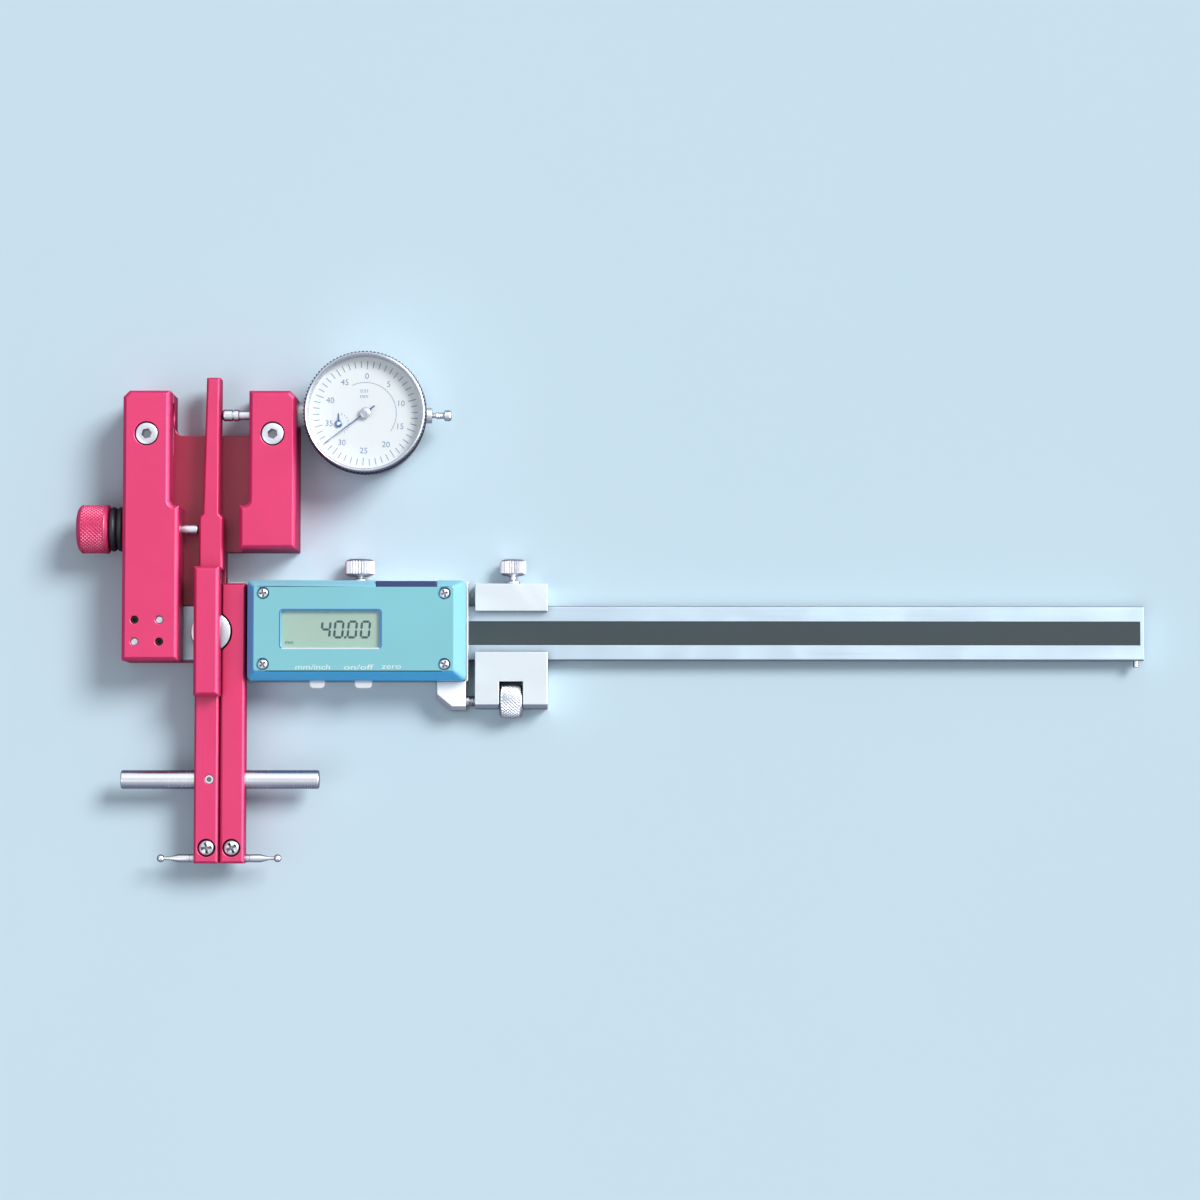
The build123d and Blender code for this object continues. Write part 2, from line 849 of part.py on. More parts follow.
def rocker_screws():
    return [
        cap_screw(
            x, y, rocker_screw_seat(), -1, rocker_screw_head_radius, rocker_screw_head_height,
            rocker_screw_radius, block_back + rocker_screw_reach - rocker_screw_seat() - pin_fit,
            rocker_hex_flats, rocker_hex_depth,
        )
        for x, y in rocker_screw_places()
    ]


def arm_rod(side):
    """A round rod seated in one arm, with its free end outwards."""
    outer = left_arm_left if side < 0 else right_arm_right
    start = outer - side * (rod_seat - pin_fit)
    end = outer + side * rod_exposed
    profile = [
        (start, 0),
        (start, rod_spigot_radius),
        (outer, rod_spigot_radius),
        (outer, rod_radius),
        (end - side * rod_chamfer, rod_radius),
        (end, rod_radius - rod_chamfer),
        (end, 0),
    ]
    return turned_x(profile, rod_axis_y, arm_mid_z)


def stylus(side):
    """A tapered stylus with a ball tip, its outermost point half the ball span out."""
    outer = left_arm_left if side < 0 else right_arm_right
    tip = ball_span_centre + side * ball_span / 2
    centre = tip - side * ball_radius
    neck_end = centre - side * stylus_neck_sink
    neck_start = neck_end - side * stylus_neck_length
    profile = [
        (outer - side * stylus_seat, 0),
        (outer - side * stylus_seat, stylus_radius),
        (outer + side * stylus_taper_start, stylus_radius),
        (neck_start, stylus_neck_radius),
        (neck_end, stylus_neck_radius),
        (neck_end, 0),
    ]
    ball = Pos(centre, stylus_y, arm_mid_z) * Sphere(ball_radius)
    return turned_x(profile, stylus_y, arm_mid_z) + ball


def stylus_screw(side, front):
    seat = front - stylus_screw_sink - stylus_screw_head_height
    return cross_screw(
        joint_line_x + side * stylus_screw_setback, stylus_y + stylus_screw_rise, seat,
        stylus_screw_head_radius, stylus_screw_head_height, stylus_screw_radius,
        stylus_screw_reach, stylus_cross_width, stylus_cross_depth,
    )


def left_arm_screws():
    """The stylus clamp screw and the small set screw that holds the rod."""
    top = arm_front - set_screw_sink
    low = arm_mid_z + rod_spigot_radius + pin_fit
    hexagon = RegularPolygon(set_screw_hex_flats / 2, 6, major_radius=False)
    socket = Pos(set_screw_x, rod_axis_y, low + set_screw_floor) * extrude(hexagon, amount=2)
    set_screw = rod_z(set_screw_radius, set_screw_x, rod_axis_y, low, top) - socket
    return [stylus_screw(-1, arm_front), set_screw]


# --- right arm and slider ------------------------------------------------------------------------------------------
def arm_screw_places():
    x = right_arm_right - arm_screw_inset_x
    return [(x, slider_top - arm_screw_inset_y), (x, slider_bottom + arm_screw_inset_y)]


def right_arm():
    body = arm_blank(right_arm_left, right_arm_right, right_arm_top, right_arm_front)
    body -= rod_z(hub_radius + hub_notch_gap, 0, 0, arm_back - 1, right_arm_front + 1)
    for tool in arm_seats(1, right_arm_front):
        body -= tool
    for x, y in arm_screw_places():
        body -= rod_z(arm_screw_radius + pin_fit, x, y, arm_back - 1, arm_back + arm_screw_reach)
    return body


def arm_screw_seat():
    return arm_screw_sink + arm_screw_head_height


def right_arm_screws():
    length = arm_back + arm_screw_reach - arm_screw_seat() - pin_fit
    return [
        cap_screw(
            x, y, arm_screw_seat(), -1, arm_screw_head_radius, arm_screw_head_height,
            arm_screw_radius, length, arm_hex_flats, arm_hex_depth,
        )
        for x, y in arm_screw_places()
    ]


def slider_body():
    top = gib_pocket
    low = -beam_half - slide_fit
    body = block(slider_left, slider_right, slider_bottom, slider_top, slider_back_front, seat_z)
    body -= block(slider_left - 1, slider_right + 1, low, top, slider_back_front - 1, rail_front)
    body -= block(slider_left - 1, display_left, slider_bottom - 1, slider_top + 1, arm_back, seat_z + 1)
    lug = [
        (lug_left, slider_bottom + 1),
        (lug_left, lug_bottom + lug_cut_y),
        (lug_left + lug_cut_x, lug_bottom),
        (lug_right, lug_bottom),
        (lug_right, slider_bottom + 1),
    ]
    body += plate(lug, slider_back_front, seat_z)
    foot = plate([(x, min(y, slider_bottom)) for x, y in lug], lug_back, lug_front)
    front = foot.faces().sort_by(Axis.Z)[-1].edges()
    body += chamfer([e for e in front if e.center().Y < lug_bottom + lug_cut_y - 1], lug_edge)
    body -= rod_x(spindle_radius + pin_fit, lug_right - spindle_seat, lug_right + 1, spindle_y, spindle_z)
    for x, y in arm_screw_places():
        body -= rod_z(arm_screw_radius + pin_fit, x, y, slider_back_front - 1, arm_back + 1)
    for x, y in housing_screw_places():
        body -= rod_z(housing_screw_radius + pin_fit, x, y, rail_front, seat_z + 1)
    body -= rod_y(lock_shank_radius + running_fit, top - 1, slider_top + 1, slider_lock_x, lock_axis_z)
    return body


def slider_back_plate():
    body = block(slider_left, slider_right, slider_bottom, slider_top, 0, slider_back_front)
    for x, y in arm_screw_places():
        body -= rod_z(arm_screw_head_radius + head_gap, x, y, -1, arm_screw_seat())
        body -= rod_z(arm_screw_radius + pin_fit, x, y, 0, slider_back_front + 1)
    return body


def gib(left, right):
    """A thin strip between the beam's upper edge and the rail that slides along it."""
    y0 = beam_half + slide_fit
    mid = beam_back + beam_thickness / 2
    half = gib_height / 2
    return block(left + gib_end_margin, right - gib_end_margin, y0, y0 + gib_thickness, mid - half, mid + half)


def slider_gib():
    return gib(display_left, slider_right)


def fine_spindle():
    end = spindle_edge
    profile = [
        (lug_right - spindle_seat + pin_fit, 0),
        (lug_right - spindle_seat + pin_fit, spindle_radius),
        (spindle_right - end, spindle_radius),
        (spindle_right, spindle_radius - end),
        (spindle_right, 0),
    ]
    return turned_x(profile, spindle_y, spindle_z)


# --- display -----------------------------------------------------------------------------------------------------
def housing_screw_places():
    xs = (
        display_left + bevel_left + housing_screw_inset_x,
        display_right - bevel_right - housing_screw_inset_x,
    )
    ys = (
        slider_bottom + bevel_bottom + housing_screw_inset_y,
        slider_top - bevel_top - housing_screw_inset_y,
    )
    return [(x, y) for x in xs for y in ys]


def cavity_box():
    """The inside of the display housing: left, right, bottom, top, ceiling."""
    return (
        display_left + display_wall,
        display_right - display_wall,
        slider_bottom + display_wall,
        slider_top - port_depth - port_sill,
        display_front - display_front_wall - window_thickness - module_margin,
    )


def button_slot(left, width, grow):
    z0 = seat_z + button_base
    return block(
        left - grow, left + width + grow, slider_bottom - 1, slider_bottom + display_wall + 1,
        z0 - grow, z0 + button_height + grow,
    )


def module_box(grow):
    """The space of the display module behind its window."""
    left = window_left - module_margin - grow
    right = window_right + module_margin + grow
    low = window_bottom - module_margin - grow
    top = window_top + module_margin + grow
    return left, right, low, top


def rounded_sheet(x0, x1, y0, y1, corner):
    """A flat rectangle with round corners."""
    return Pos((x0 + x1) / 2, (y0 + y1) / 2) * RectangleRounded(x1 - x0, y1 - y0, corner)


def window_shape(shrink, z0, z1):
    """The window's round-cornered opening, or the pane that fits in it."""
    outline = rounded_sheet(
        window_left + shrink, window_right - shrink,
        window_bottom + shrink, window_top - shrink, window_corner - shrink,
    )
    return Pos(0, 0, z0) * extrude(outline, amount=z1 - z0)


def display_housing():
    upright = seat_z + display_skirt
    face_left, face_right = display_left + bevel_left, display_right - bevel_right
    face_low, face_top = slider_bottom + bevel_bottom, slider_top - bevel_top
    base = rounded_sheet(display_left, display_right, slider_bottom, slider_top, display_corner)
    face = rounded_sheet(face_left, face_right, face_low, face_top, face_corner)
    body = Pos(0, 0, seat_z) * extrude(base, amount=display_skirt)
    body += loft([Pos(0, 0, upright) * base, Pos(0, 0, display_front) * face])
    left, right, low, top, ceiling = cavity_box()
    body -= block(left + corner_pillar, right - corner_pillar, low, top, seat_z - 1, ceiling)
    body -= block(left, right, low + corner_pillar, top - corner_pillar, seat_z - 1, ceiling)
    x0, x1, y0, y1 = module_box(board_margin)
    glass_back = display_front - window_recess - window_thickness
    body -= block(x0, x1, y0, y1, ceiling - 1, glass_back)
    body -= window_shape(0, glass_back - 1, display_front + 1)
    body -= block(port_left, port_right, slider_top - port_depth, slider_top + 1, seat_z + port_sill, display_front + 1)
    body -= button_slot(units_button_left, units_button_width, running_fit)
    body -= button_slot(power_button_left, power_button_width, running_fit)
    head_seat = display_front - housing_screw_sink - housing_screw_head_height
    for x, y in housing_screw_places():
        body -= rod_z(housing_screw_head_radius + counterbore_gap, x, y, head_seat, display_front + 1)
        body -= rod_z(housing_screw_radius + pin_fit, x, y, seat_z - 1, head_seat + 1)
    return body


def housing_screws():
    seat = display_front - housing_screw_sink - housing_screw_head_height
    return [
        cross_screw(
            x, y, seat, housing_screw_head_radius, housing_screw_head_height,
            housing_screw_radius, seat - rail_front - pin_fit, housing_cross_width, housing_cross_depth,
        )
        for x, y in housing_screw_places()
    ]


def board_front():
    return seat_z + board_margin + board_thickness


def circuit_board():
    left, right, low, top, _ = cavity_box()
    x0, x1 = left + corner_pillar + board_margin, right - corner_pillar - board_margin
    y0, y1 = low + board_margin, top - board_margin
    return block(x0, x1, y0, y1, seat_z + board_margin, board_front())


def lcd_module():
    x0, x1, y0, y1 = module_box(0)
    return block(x0, x1, y0, y1, board_front(), display_front - window_recess - window_thickness)


def lcd_window():
    z1 = display_front - window_recess
    return window_shape(window_fit, z1 - window_thickness, z1)


def battery():
    y = (window_bottom + window_top) / 2
    return rod_z(battery_radius, battery_x, y, board_front(), board_front() + battery_thickness)


def port_cover():
    y0 = slider_top - port_depth
    z1 = display_front - port_recess
    body = block(
        port_left + pin_fit, port_right - pin_fit, y0, slider_top - port_setback, seat_z + port_sill, z1
    )
    return chamfer(body.faces().sort_by(Axis.Z)[-1].edges(), port_edge)


def push_button(left, width):
    z0 = seat_z + button_base
    low = slider_bottom - button_stickout
    inside = slider_bottom + display_wall + touch_gap
    body = block(left, left + width, low, inside + button_flange, z0, z0 + button_height)
    body = chamfer(body.faces().sort_by(Axis.Y)[0].edges(), button_edge)
    m = button_flange_margin
    flange = block(left - m, left + width + m, inside, inside + button_flange, z0, z0 + button_height)
    return body + flange


def units_button():
    return push_button(units_button_left, units_button_width)


def power_button():
    return push_button(power_button_left, power_button_width)


# --- lock screws ---------------------------------------------------------------------------------------------------
def lock_screw(x, rail_top, knob_radius, knob_height):
    """A thumb screw whose tip stands just off the gib."""
    tip = beam_half + slide_fit + gib_thickness + slide_fit
    knob_low = lock_knob_top - knob_height
    c = lock_chamfer
    profile = [
        (tip, 0),
        (tip, lock_shank_radius),
        (rail_top + pin_fit, lock_shank_radius),
        (rail_top + pin_fit, lock_collar_radius),
        (rail_top + lock_collar_height, lock_collar_radius),
        (knob_low - lock_neck_length, lock_shank_radius),
        (knob_low, lock_shank_radius),
        (knob_low, knob_radius - c),
        (knob_low + c, knob_radius),
        (lock_knob_top - c, knob_radius),
        (lock_knob_top, knob_radius - c),
        (lock_knob_top, 0),
    ]
    return turned_y(profile, x, lock_axis_z)


def slider_lock_screw():
    return lock_screw(slider_lock_x, slider_top, slider_lock_knob_radius, slider_lock_knob_height)


def carriage_lock_screw():
    return lock_screw(
        carriage_lock_x, carriage_top, carriage_lock_knob_radius, carriage_lock_knob_height
    )


# --- carriage -----------------------------------------------------------------------------------------------------
def carriage_block():
    low = -beam_half - slide_fit
    section = [
        (carriage_bottom, 0),
        (carriage_top, 0),
        (carriage_top, carriage_front),
        (carriage_upper_lip, carriage_front),
        (carriage_upper_lip, rail_front),
        (gib_pocket, rail_front),
        (gib_pocket, slider_back_front),
        (low, slider_back_front),
        (low, rail_front),
        (carriage_lower_lip, rail_front),
        (carriage_lower_lip, carriage_front),
        (carriage_bottom + carriage_edge, carriage_front),
        (carriage_bottom, carriage_front - carriage_edge),
    ]
    across = Plane(origin=(carriage_left, 0, 0), x_dir=(0, 1, 0), z_dir=(1, 0, 0))
    body = extrude(across * Polygon(*section, align=None), amount=carriage_right - carriage_left)
    corner = [
        (carriage_right - carriage_corner, carriage_bottom),
        (carriage_right, carriage_bottom + carriage_corner),
        (carriage_right + 1, carriage_bottom + carriage_corner),
        (carriage_right + 1, carriage_bottom - 1),
        (carriage_right - carriage_corner, carriage_bottom - 1),
    ]
    body -= plate(corner, -1, carriage_front + 1)
    body -= block(nut_slot_left, nut_slot_right, carriage_bottom - 1, nut_slot_top, -1, carriage_front + 1)
    body -= rod_x(spindle_radius + running_fit, carriage_left - 1, carriage_right + 1, spindle_y, spindle_z)
    body -= rod_y(
        lock_shank_radius + running_fit, gib_pocket - 1, carriage_top + 1, carriage_lock_x, lock_axis_z
    )
    return body


def carriage_gib():
    return gib(carriage_left, carriage_right)


def adjusting_nut():
    x0, x1 = nut_slot_left + nut_side_gap, nut_slot_right - nut_side_gap
    bore = spindle_radius + running_fit
    profile = [
        (x0, bore),
        (x0, nut_radius - nut_edge),
        (x0 + nut_crown, nut_radius - nut_crown_drop),
        (x0 + nut_edge, nut_radius),
        (x1 - nut_edge, nut_radius),
        (x1 - nut_crown, nut_radius - nut_crown_drop),
        (x1, nut_radius - nut_edge),
        (x1, bore),
    ]
    return turned_x(profile, spindle_y, spindle_z)


# --- dial gauge -----------------------------------------------------------------------------------------------------
def gauge_case():
    ring = [
        (case_back + cover_thickness, case_radius - case_wall),
        (case_back + cover_thickness, case_radius),
        (case_front, case_radius),
        (case_front, case_radius - case_wall),
    ]
    inside = case_radius - case_wall
    body = turned_z(ring, dial_x, stem_axis_y)
    stem = rod_x(stem_radius, stem_left, dial_x - inside, stem_axis_y, stem_axis_z)
    collar = rod_x(collar_radius, dial_x + inside, collar_end, stem_axis_y, stem_axis_z)
    body += stem
    body += collar
    body -= rod_x(plunger_radius + rod_bore_play, stem_left - 1, dial_x, stem_axis_y, stem_axis_z)
    body -= rod_x(plunger_neck_radius + rod_bore_play, dial_x, collar_end + 1, stem_axis_y, stem_axis_z)
    return body


def gauge_back_cover():
    z1 = case_back + cover_thickness
    profile = [
        (case_back, 0),
        (case_back, case_radius - cover_edge),
        (case_back + cover_edge, case_radius),
        (z1, case_radius),
        (z1, case_radius - case_wall - pin_fit),
        (z1 + cover_rim, case_radius - case_wall - pin_fit),
        (z1 + cover_rim, case_radius - 2 * case_wall),
        (z1, case_radius - 2 * case_wall),
        (z1, 0),
    ]
    return turned_z(profile, dial_x, stem_axis_y)


def gauge_movement():
    """The closed movement under the dial, with holes for its two arbors."""
    z1 = case_front - movement_setback
    z0 = z1 - movement_thickness
    outer = case_radius - case_wall - pin_fit
    profile = [
        (z0, 0),
        (z0, outer),
        (z1, outer),
        (z1, movement_boss_radius),
        (dial_back, movement_boss_radius),
        (dial_back, 0),
    ]
    body = turned_z(profile, dial_x, stem_axis_y)
    body -= rod_z(pointer_arbor_radius + running_fit, dial_x, stem_axis_y, z0 - 1, dial_back + 1)
    x, y = dial_x + counter_x, stem_axis_y + counter_y
    body += rod_z(counter_hub_radius, x, y, z1, dial_back)
    body -= rod_z(counter_arbor_radius + running_fit, x, y, z0 - 1, dial_back + 1)
    return body


def counter_dial():
    """The still middle of the dial, which carries the small counter's scale."""
    body = rod_z(dial_split_radius, dial_x, stem_axis_y, dial_back, dial_back + dial_thickness)
    body -= rod_z(pointer_arbor_radius + running_fit, dial_x, stem_axis_y, dial_back - 1, dial_back + 2)
    x, y = dial_x + counter_x, stem_axis_y + counter_y
    return body - rod_z(counter_arbor_radius + running_fit, x, y, dial_back - 1, dial_back + 2)


def gauge_dial():
    """The printed ring that turns with the bezel."""
    body = rod_z(bezel_bore - pin_fit, dial_x, stem_axis_y, dial_back, dial_back + dial_thickness)
    inner = dial_split_radius + dial_ring_gap
    return body - rod_z(inner, dial_x, stem_axis_y, dial_back - 1, dial_back + 2)


def gauge_bezel():
    crystal_front = crystal_back + crystal_thickness
    profile = [
        (bezel_base, bezel_flange_bore),
        (bezel_base, bezel_radius),
        (bezel_front - bezel_edge, bezel_radius),
        (bezel_front, bezel_radius - bezel_edge),
        (crystal_front, bezel_bore),
        (crystal_front, bezel_bore + crystal_rebate),
        (crystal_back, bezel_bore + crystal_rebate),
        (crystal_back, bezel_bore),
        (dial_back, bezel_bore),
        (dial_back, bezel_flange_bore),
    ]
    return turned_z(profile, dial_x, stem_axis_y)


def gauge_crystal():
    radius = bezel_bore + crystal_rebate - pin_fit
    return rod_z(radius, dial_x, stem_axis_y, crystal_back, crystal_back + crystal_thickness)


def hand(length, tail, base_width, tip_width, hub_radius_mm, z0, thickness):
    """A tapered hand on its hub, pointing up from the origin."""
    points = [
        (-base_width / 2, -tail),
        (base_width / 2, -tail),
        (tip_width / 2, length),
        (-tip_width / 2, length),
    ]
    blade = plate(points, z0, z0 + thickness)
    return blade + rod_z(hub_radius_mm, 0, 0, z0 - thickness, z0 + 2 * thickness)


def gauge_pointer():
    body = hand(
        bezel_bore - pointer_rim_gap, pointer_tail, pointer_base_width, pointer_tip_width,
        pointer_hub_radius, pointer_back, pointer_thickness,
    )
    floor = case_front - movement_setback - movement_thickness
    body += rod_z(pointer_arbor_radius, 0, 0, floor, pointer_back)
    return Pos(dial_x, stem_axis_y, 0) * Rot(0, 0, -pointer_angle) * body


def counter_hand():
    body = hand(
        counter_hand_length, 0, counter_base_width, counter_tip_width,
        counter_hub_radius, counter_back, counter_thickness,
    )
    floor = case_front - movement_setback - movement_thickness
    body += rod_z(counter_arbor_radius, 0, 0, floor, counter_back)
    return Pos(dial_x + counter_x, stem_axis_y + counter_y, 0) * body


# --- plunger -------------------------------------------------------------------------------------------------------
def gauge_plunger():
    profile = [
        (plunger_left, 0),
        (plunger_left, plunger_radius),
        (plunger_shoulder, plunger_radius),
        (plunger_shoulder, plunger_neck_radius),
        (cap_groove_left, plunger_neck_radius),
        (cap_groove_left, 0),
    ]
    return turned_x(profile, stem_axis_y, stem_axis_z)


def contact_point():
    """The screwed-in contact point, with a domed end that meets the rocker bar."""
    tip = bar_right + touch_gap
    dome = contact_dome
    steps = 5
    curve = [
        (tip + dome * (1 - cos(pi / 2 * i / steps)), contact_radius * sin(pi / 2 * i / steps))
        for i in range(steps + 1)
    ]
    profile = curve + [(plunger_left, contact_radius), (plunger_left, 0)]
    return turned_x(profile, stem_axis_y, stem_axis_z)


def lifting_cap():
    bore = plunger_neck_radius + pin_fit
    profile = [
        (cap_left, bore),
        (cap_left, cap_flange_radius),
        (cap_groove_left, cap_flange_radius),
        (cap_groove_left, cap_groove_radius),
        (cap_knob_left, cap_groove_radius),
        (cap_knob_left, cap_knob_radius - cap_knob_edge),
        (cap_knob_left + cap_knob_edge, cap_knob_radius),
        (cap_right - cap_knob_edge, cap_knob_radius),
        (cap_right, cap_knob_radius - cap_knob_edge),
        (cap_right, 0),
        (cap_groove_left + pin_fit, 0),
        (cap_groove_left + pin_fit, bore),
    ]
    return turned_x(profile, stem_axis_y, stem_axis_z)


# --- retracting knob -----------------------------------------------------------------------------------------------
def rings_left():
    return -yoke_half_width - touch_gap - 2 * ring_section


def retract_knob():
    neck = ring_outer_radius - ring_section - pin_fit
    right = rings_left()
    left = right - knob_length
    neck_end = -yoke_half_width - touch_gap - ring_section / 2
    bore = retract_pin_radius + pin_fit
    profile = [
        (left, 0),
        (left, knob_face_radius),
        (left + knob_dome_step, knob_radius - knob_dome_drop),
        (left + knob_dome, knob_radius),
        (right - knob_rim, knob_radius),
        (right, knob_radius - knob_rim),
        (right, neck),
        (neck_end, neck),
        (neck_end, bore),
        (left + knob_blind_wall, bore),
        (left + knob_blind_wall, 0),
    ]
    return turned_x(profile, knob_y, stem_axis_z)


def knob_o_rings():
    minor = ring_section / 2
    rings = []
    for i in range(2):
        x = rings_left() + minor + i * ring_section
        ring = Torus(ring_outer_radius - minor, minor - pin_fit)
        rings.append(Pos(x, knob_y, stem_axis_z) * Rot(0, 90, 0) * ring)
    return rings


def spring_room():
    """The chamber's two ends along X, between the bush and its inner end."""
    start = -yoke_half_width + knob_bush_length
    return start, start + spring_chamber_length


def retract_pin():
    _, chamber_right = spring_room()
    left = rings_left() - knob_length + knob_blind_wall + pin_fit
    right = -bar_half_wide - retract_pin_gap
    c0 = chamber_right - touch_gap - pin_collar_length
    c1 = chamber_right - touch_gap
    profile = [
        (left, 0),
        (left, retract_pin_radius),
        (c0, retract_pin_radius),
        (c0, pin_collar_radius),
        (c1, pin_collar_radius),
        (c1, retract_pin_radius),
        (right - retract_pin_edge, retract_pin_radius),
        (right, retract_pin_radius - retract_pin_edge),
        (right, 0),
    ]
    return turned_x(profile, knob_y, stem_axis_z)


def knob_bush():
    start, _ = spring_room()
    outer = rod_x(spring_chamber_radius - pin_fit, -yoke_half_width, start, knob_y, stem_axis_z)
    bore = rod_x(retract_pin_radius + running_fit, -yoke_half_width - 1, start + 1, knob_y, stem_axis_z)
    return outer - bore


def pin_spring():
    """The coil spring that returns the pin, between the bush and the pin's collar."""
    start, end = spring_room()
    room = end - touch_gap - pin_collar_length - start - 2 * spring_wire_radius - 2 * pin_fit
    path = Helix(pitch=room / spring_turns, height=room, radius=spring_coil_radius)
    wire = Plane(origin=path @ 0, z_dir=path % 0) * Circle(spring_wire_radius)
    coil = sweep(wire, path=path, is_frenet=True)
    x = start + spring_wire_radius + pin_fit
    return Pos(x, knob_y, stem_axis_z) * Rot(0, 90, 0) * coil


# --- all pieces ------------------------------------------------------------------------------------------------------
pieces = {
    "back_plate": back_plate,
    "left_column": left_column,
    "right_column": right_column,
    "column_screws": column_screws,
    "stem_clamp_screws": stem_clamp_screws,
    "beam": beam,
    "scale_strip": scale_strip,
    "beam_stop_pin": beam_stop_pin,
    "beam_screws": beam_screws,
    "beam_dowels": beam_dowels,
    "pivot_pin": pivot_pin,
    "pivot_hub": pivot_hub,
    "pivot_bush": pivot_bush,
    "rocker_block": rocker_block,
    "rocker_bar": rocker_bar,
    "left_arm": left_arm,
    "rocker_screws": rocker_screws,
    "left_rod": lambda: arm_rod(-1),
    "left_stylus": lambda: stylus(-1),
    "left_arm_screws": left_arm_screws,
    "right_arm": right_arm,
    "right_arm_screws": right_arm_screws,
    "right_rod": lambda: arm_rod(1),
    "right_stylus": lambda: stylus(1),
    "right_stylus_screw": lambda: stylus_screw(1, right_arm_front),
    "slider_body": slider_body,
    "slider_back_plate": slider_back_plate,
    "slider_gib": slider_gib,
    "fine_spindle": fine_spindle,
    "display_housing": display_housing,
    "housing_screws": housing_screws,
    "circuit_board": circuit_board,
    "lcd_module": lcd_module,
    "lcd_window": lcd_window,
    "battery": battery,
    "port_cover": port_cover,
    "units_button": units_button,
    "power_button": power_button,
    "slider_lock_screw": slider_lock_screw,
    "carriage_block": carriage_block,
    "carriage_gib": carriage_gib,
    "carriage_lock_screw": carriage_lock_screw,
    "adjusting_nut": adjusting_nut,
    "gauge_case": gauge_case,
    "gauge_back_cover": gauge_back_cover,
    "gauge_movement": gauge_movement,
    "counter_dial": counter_dial,
    "gauge_dial": gauge_dial,
    "gauge_bezel": gauge_bezel,
    "gauge_crystal": gauge_crystal,
    "gauge_pointer": gauge_pointer,
    "counter_hand": counter_hand,
    "gauge_plunger": gauge_plunger,
    "contact_point": contact_point,
    "lifting_cap": lifting_cap,
    "retract_knob": retract_knob,
    "knob_o_rings": knob_o_rings,
    "retract_pin": retract_pin,
    "knob_bush": knob_bush,
    "pin_spring": pin_spring,
}

os.makedirs("parts", exist_ok=True)
for name, make in pieces.items():
    made = make()
    if isinstance(made, list):
        made = Compound(children=made)
    export_step(made, f"parts/{name}.step")
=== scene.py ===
import json
from math import asin, atan2, cos, floor, pi, radians, sin, sqrt

import bmesh
import bpy
from mathutils import Matrix, Vector


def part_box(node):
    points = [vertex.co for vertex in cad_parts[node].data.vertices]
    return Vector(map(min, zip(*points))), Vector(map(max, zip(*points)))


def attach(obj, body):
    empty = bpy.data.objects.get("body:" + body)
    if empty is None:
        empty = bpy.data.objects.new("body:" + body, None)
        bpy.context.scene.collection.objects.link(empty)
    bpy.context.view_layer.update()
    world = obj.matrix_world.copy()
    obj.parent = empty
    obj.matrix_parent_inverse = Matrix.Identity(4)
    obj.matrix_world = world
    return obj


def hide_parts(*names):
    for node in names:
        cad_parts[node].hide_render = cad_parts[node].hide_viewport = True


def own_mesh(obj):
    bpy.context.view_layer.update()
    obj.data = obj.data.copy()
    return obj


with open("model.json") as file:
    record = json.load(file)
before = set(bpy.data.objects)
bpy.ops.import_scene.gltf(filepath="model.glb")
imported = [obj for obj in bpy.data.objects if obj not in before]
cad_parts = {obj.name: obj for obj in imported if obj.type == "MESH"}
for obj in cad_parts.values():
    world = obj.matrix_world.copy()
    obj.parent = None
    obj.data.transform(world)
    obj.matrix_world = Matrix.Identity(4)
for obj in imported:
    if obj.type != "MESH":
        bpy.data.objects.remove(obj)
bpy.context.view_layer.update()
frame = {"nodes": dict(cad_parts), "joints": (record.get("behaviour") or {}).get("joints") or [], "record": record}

# A two-ball measuring gauge with a dial comparator and a digital slide.
# Shapes are made in millimetres and scaled to metres as each piece is finished.

MM = 0.001
record = frame["record"]
slot_of = {part["node"]: part["material_slot"] for part in record["subparts"]}
body_of = {node: body for body, nodes in record["behaviour"]["bodies"].items() for node in nodes}

WELD = 0.002              # vertices nearer than this are one
FLAT_ANGLE = 0.6          # degrees, faces flatter than this to each other are one face
SHARP_ANGLE = 28          # degrees, edges sharper than this are broken or stay crisp
STRIP_ANGLE = 5           # degrees, a broad face that meets a narrow one at more than this stays flat
BROAD_TO_NARROW = 8
PRINT_THICKNESS = 0.02


# ---- the frame, read in millimetres ----
def node_box(node):
    low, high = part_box(node)
    return low / MM, high / MM


def middle_of(node):
    low, high = node_box(node)
    return (low + high) / 2


def bar_box(node):
    """The box of a round bar that lies along X, and its radius."""
    low, high = node_box(node)
    return low, high, (high.z - low.z) / 2


def half_width(low, high):
    """The radius of a round solid that stands on its end."""
    return (high.x - low.x) / 2


def joint_place(name):
    joint = next(j for j in frame["joints"] if j["name"] == name)
    return Vector(joint["pos_m"]) / MM


def merged_copy(node):
    """A CAD node's shape in millimetres, with its loose triangles joined."""
    bm = bmesh.new()
    bm.from_mesh(frame["nodes"][node].data)
    bmesh.ops.scale(bm, vec=(1 / MM,) * 3, verts=bm.verts)
    bmesh.ops.remove_doubles(bm, verts=bm.verts, dist=WELD)
    return bm


def solids_of(node):
    """The lowest and highest corner of each separate solid in a CAD node."""
    bm = merged_copy(node)
    waiting = set(bm.verts)
    boxes = []
    while waiting:
        edge_of_search = [waiting.pop()]
        found = []
        while edge_of_search:
            vert = edge_of_search.pop()
            found.append(vert.co.copy())
            near = {e.other_vert(vert) for e in vert.link_edges} & waiting
            waiting -= near
            edge_of_search.extend(near)
        boxes.append(tuple(Vector(pick(p[i] for p in found) for i in range(3)) for pick in (min, max)))
    bm.free()
    return sorted(boxes, key=lambda box: tuple(box[0]))


# ---- mesh tools ----
def sharp_edges(bm):
    return [
        e for e in bm.edges
        if len(e.link_faces) == 2 and e.calc_face_angle() > radians(SHARP_ANGLE)
    ]


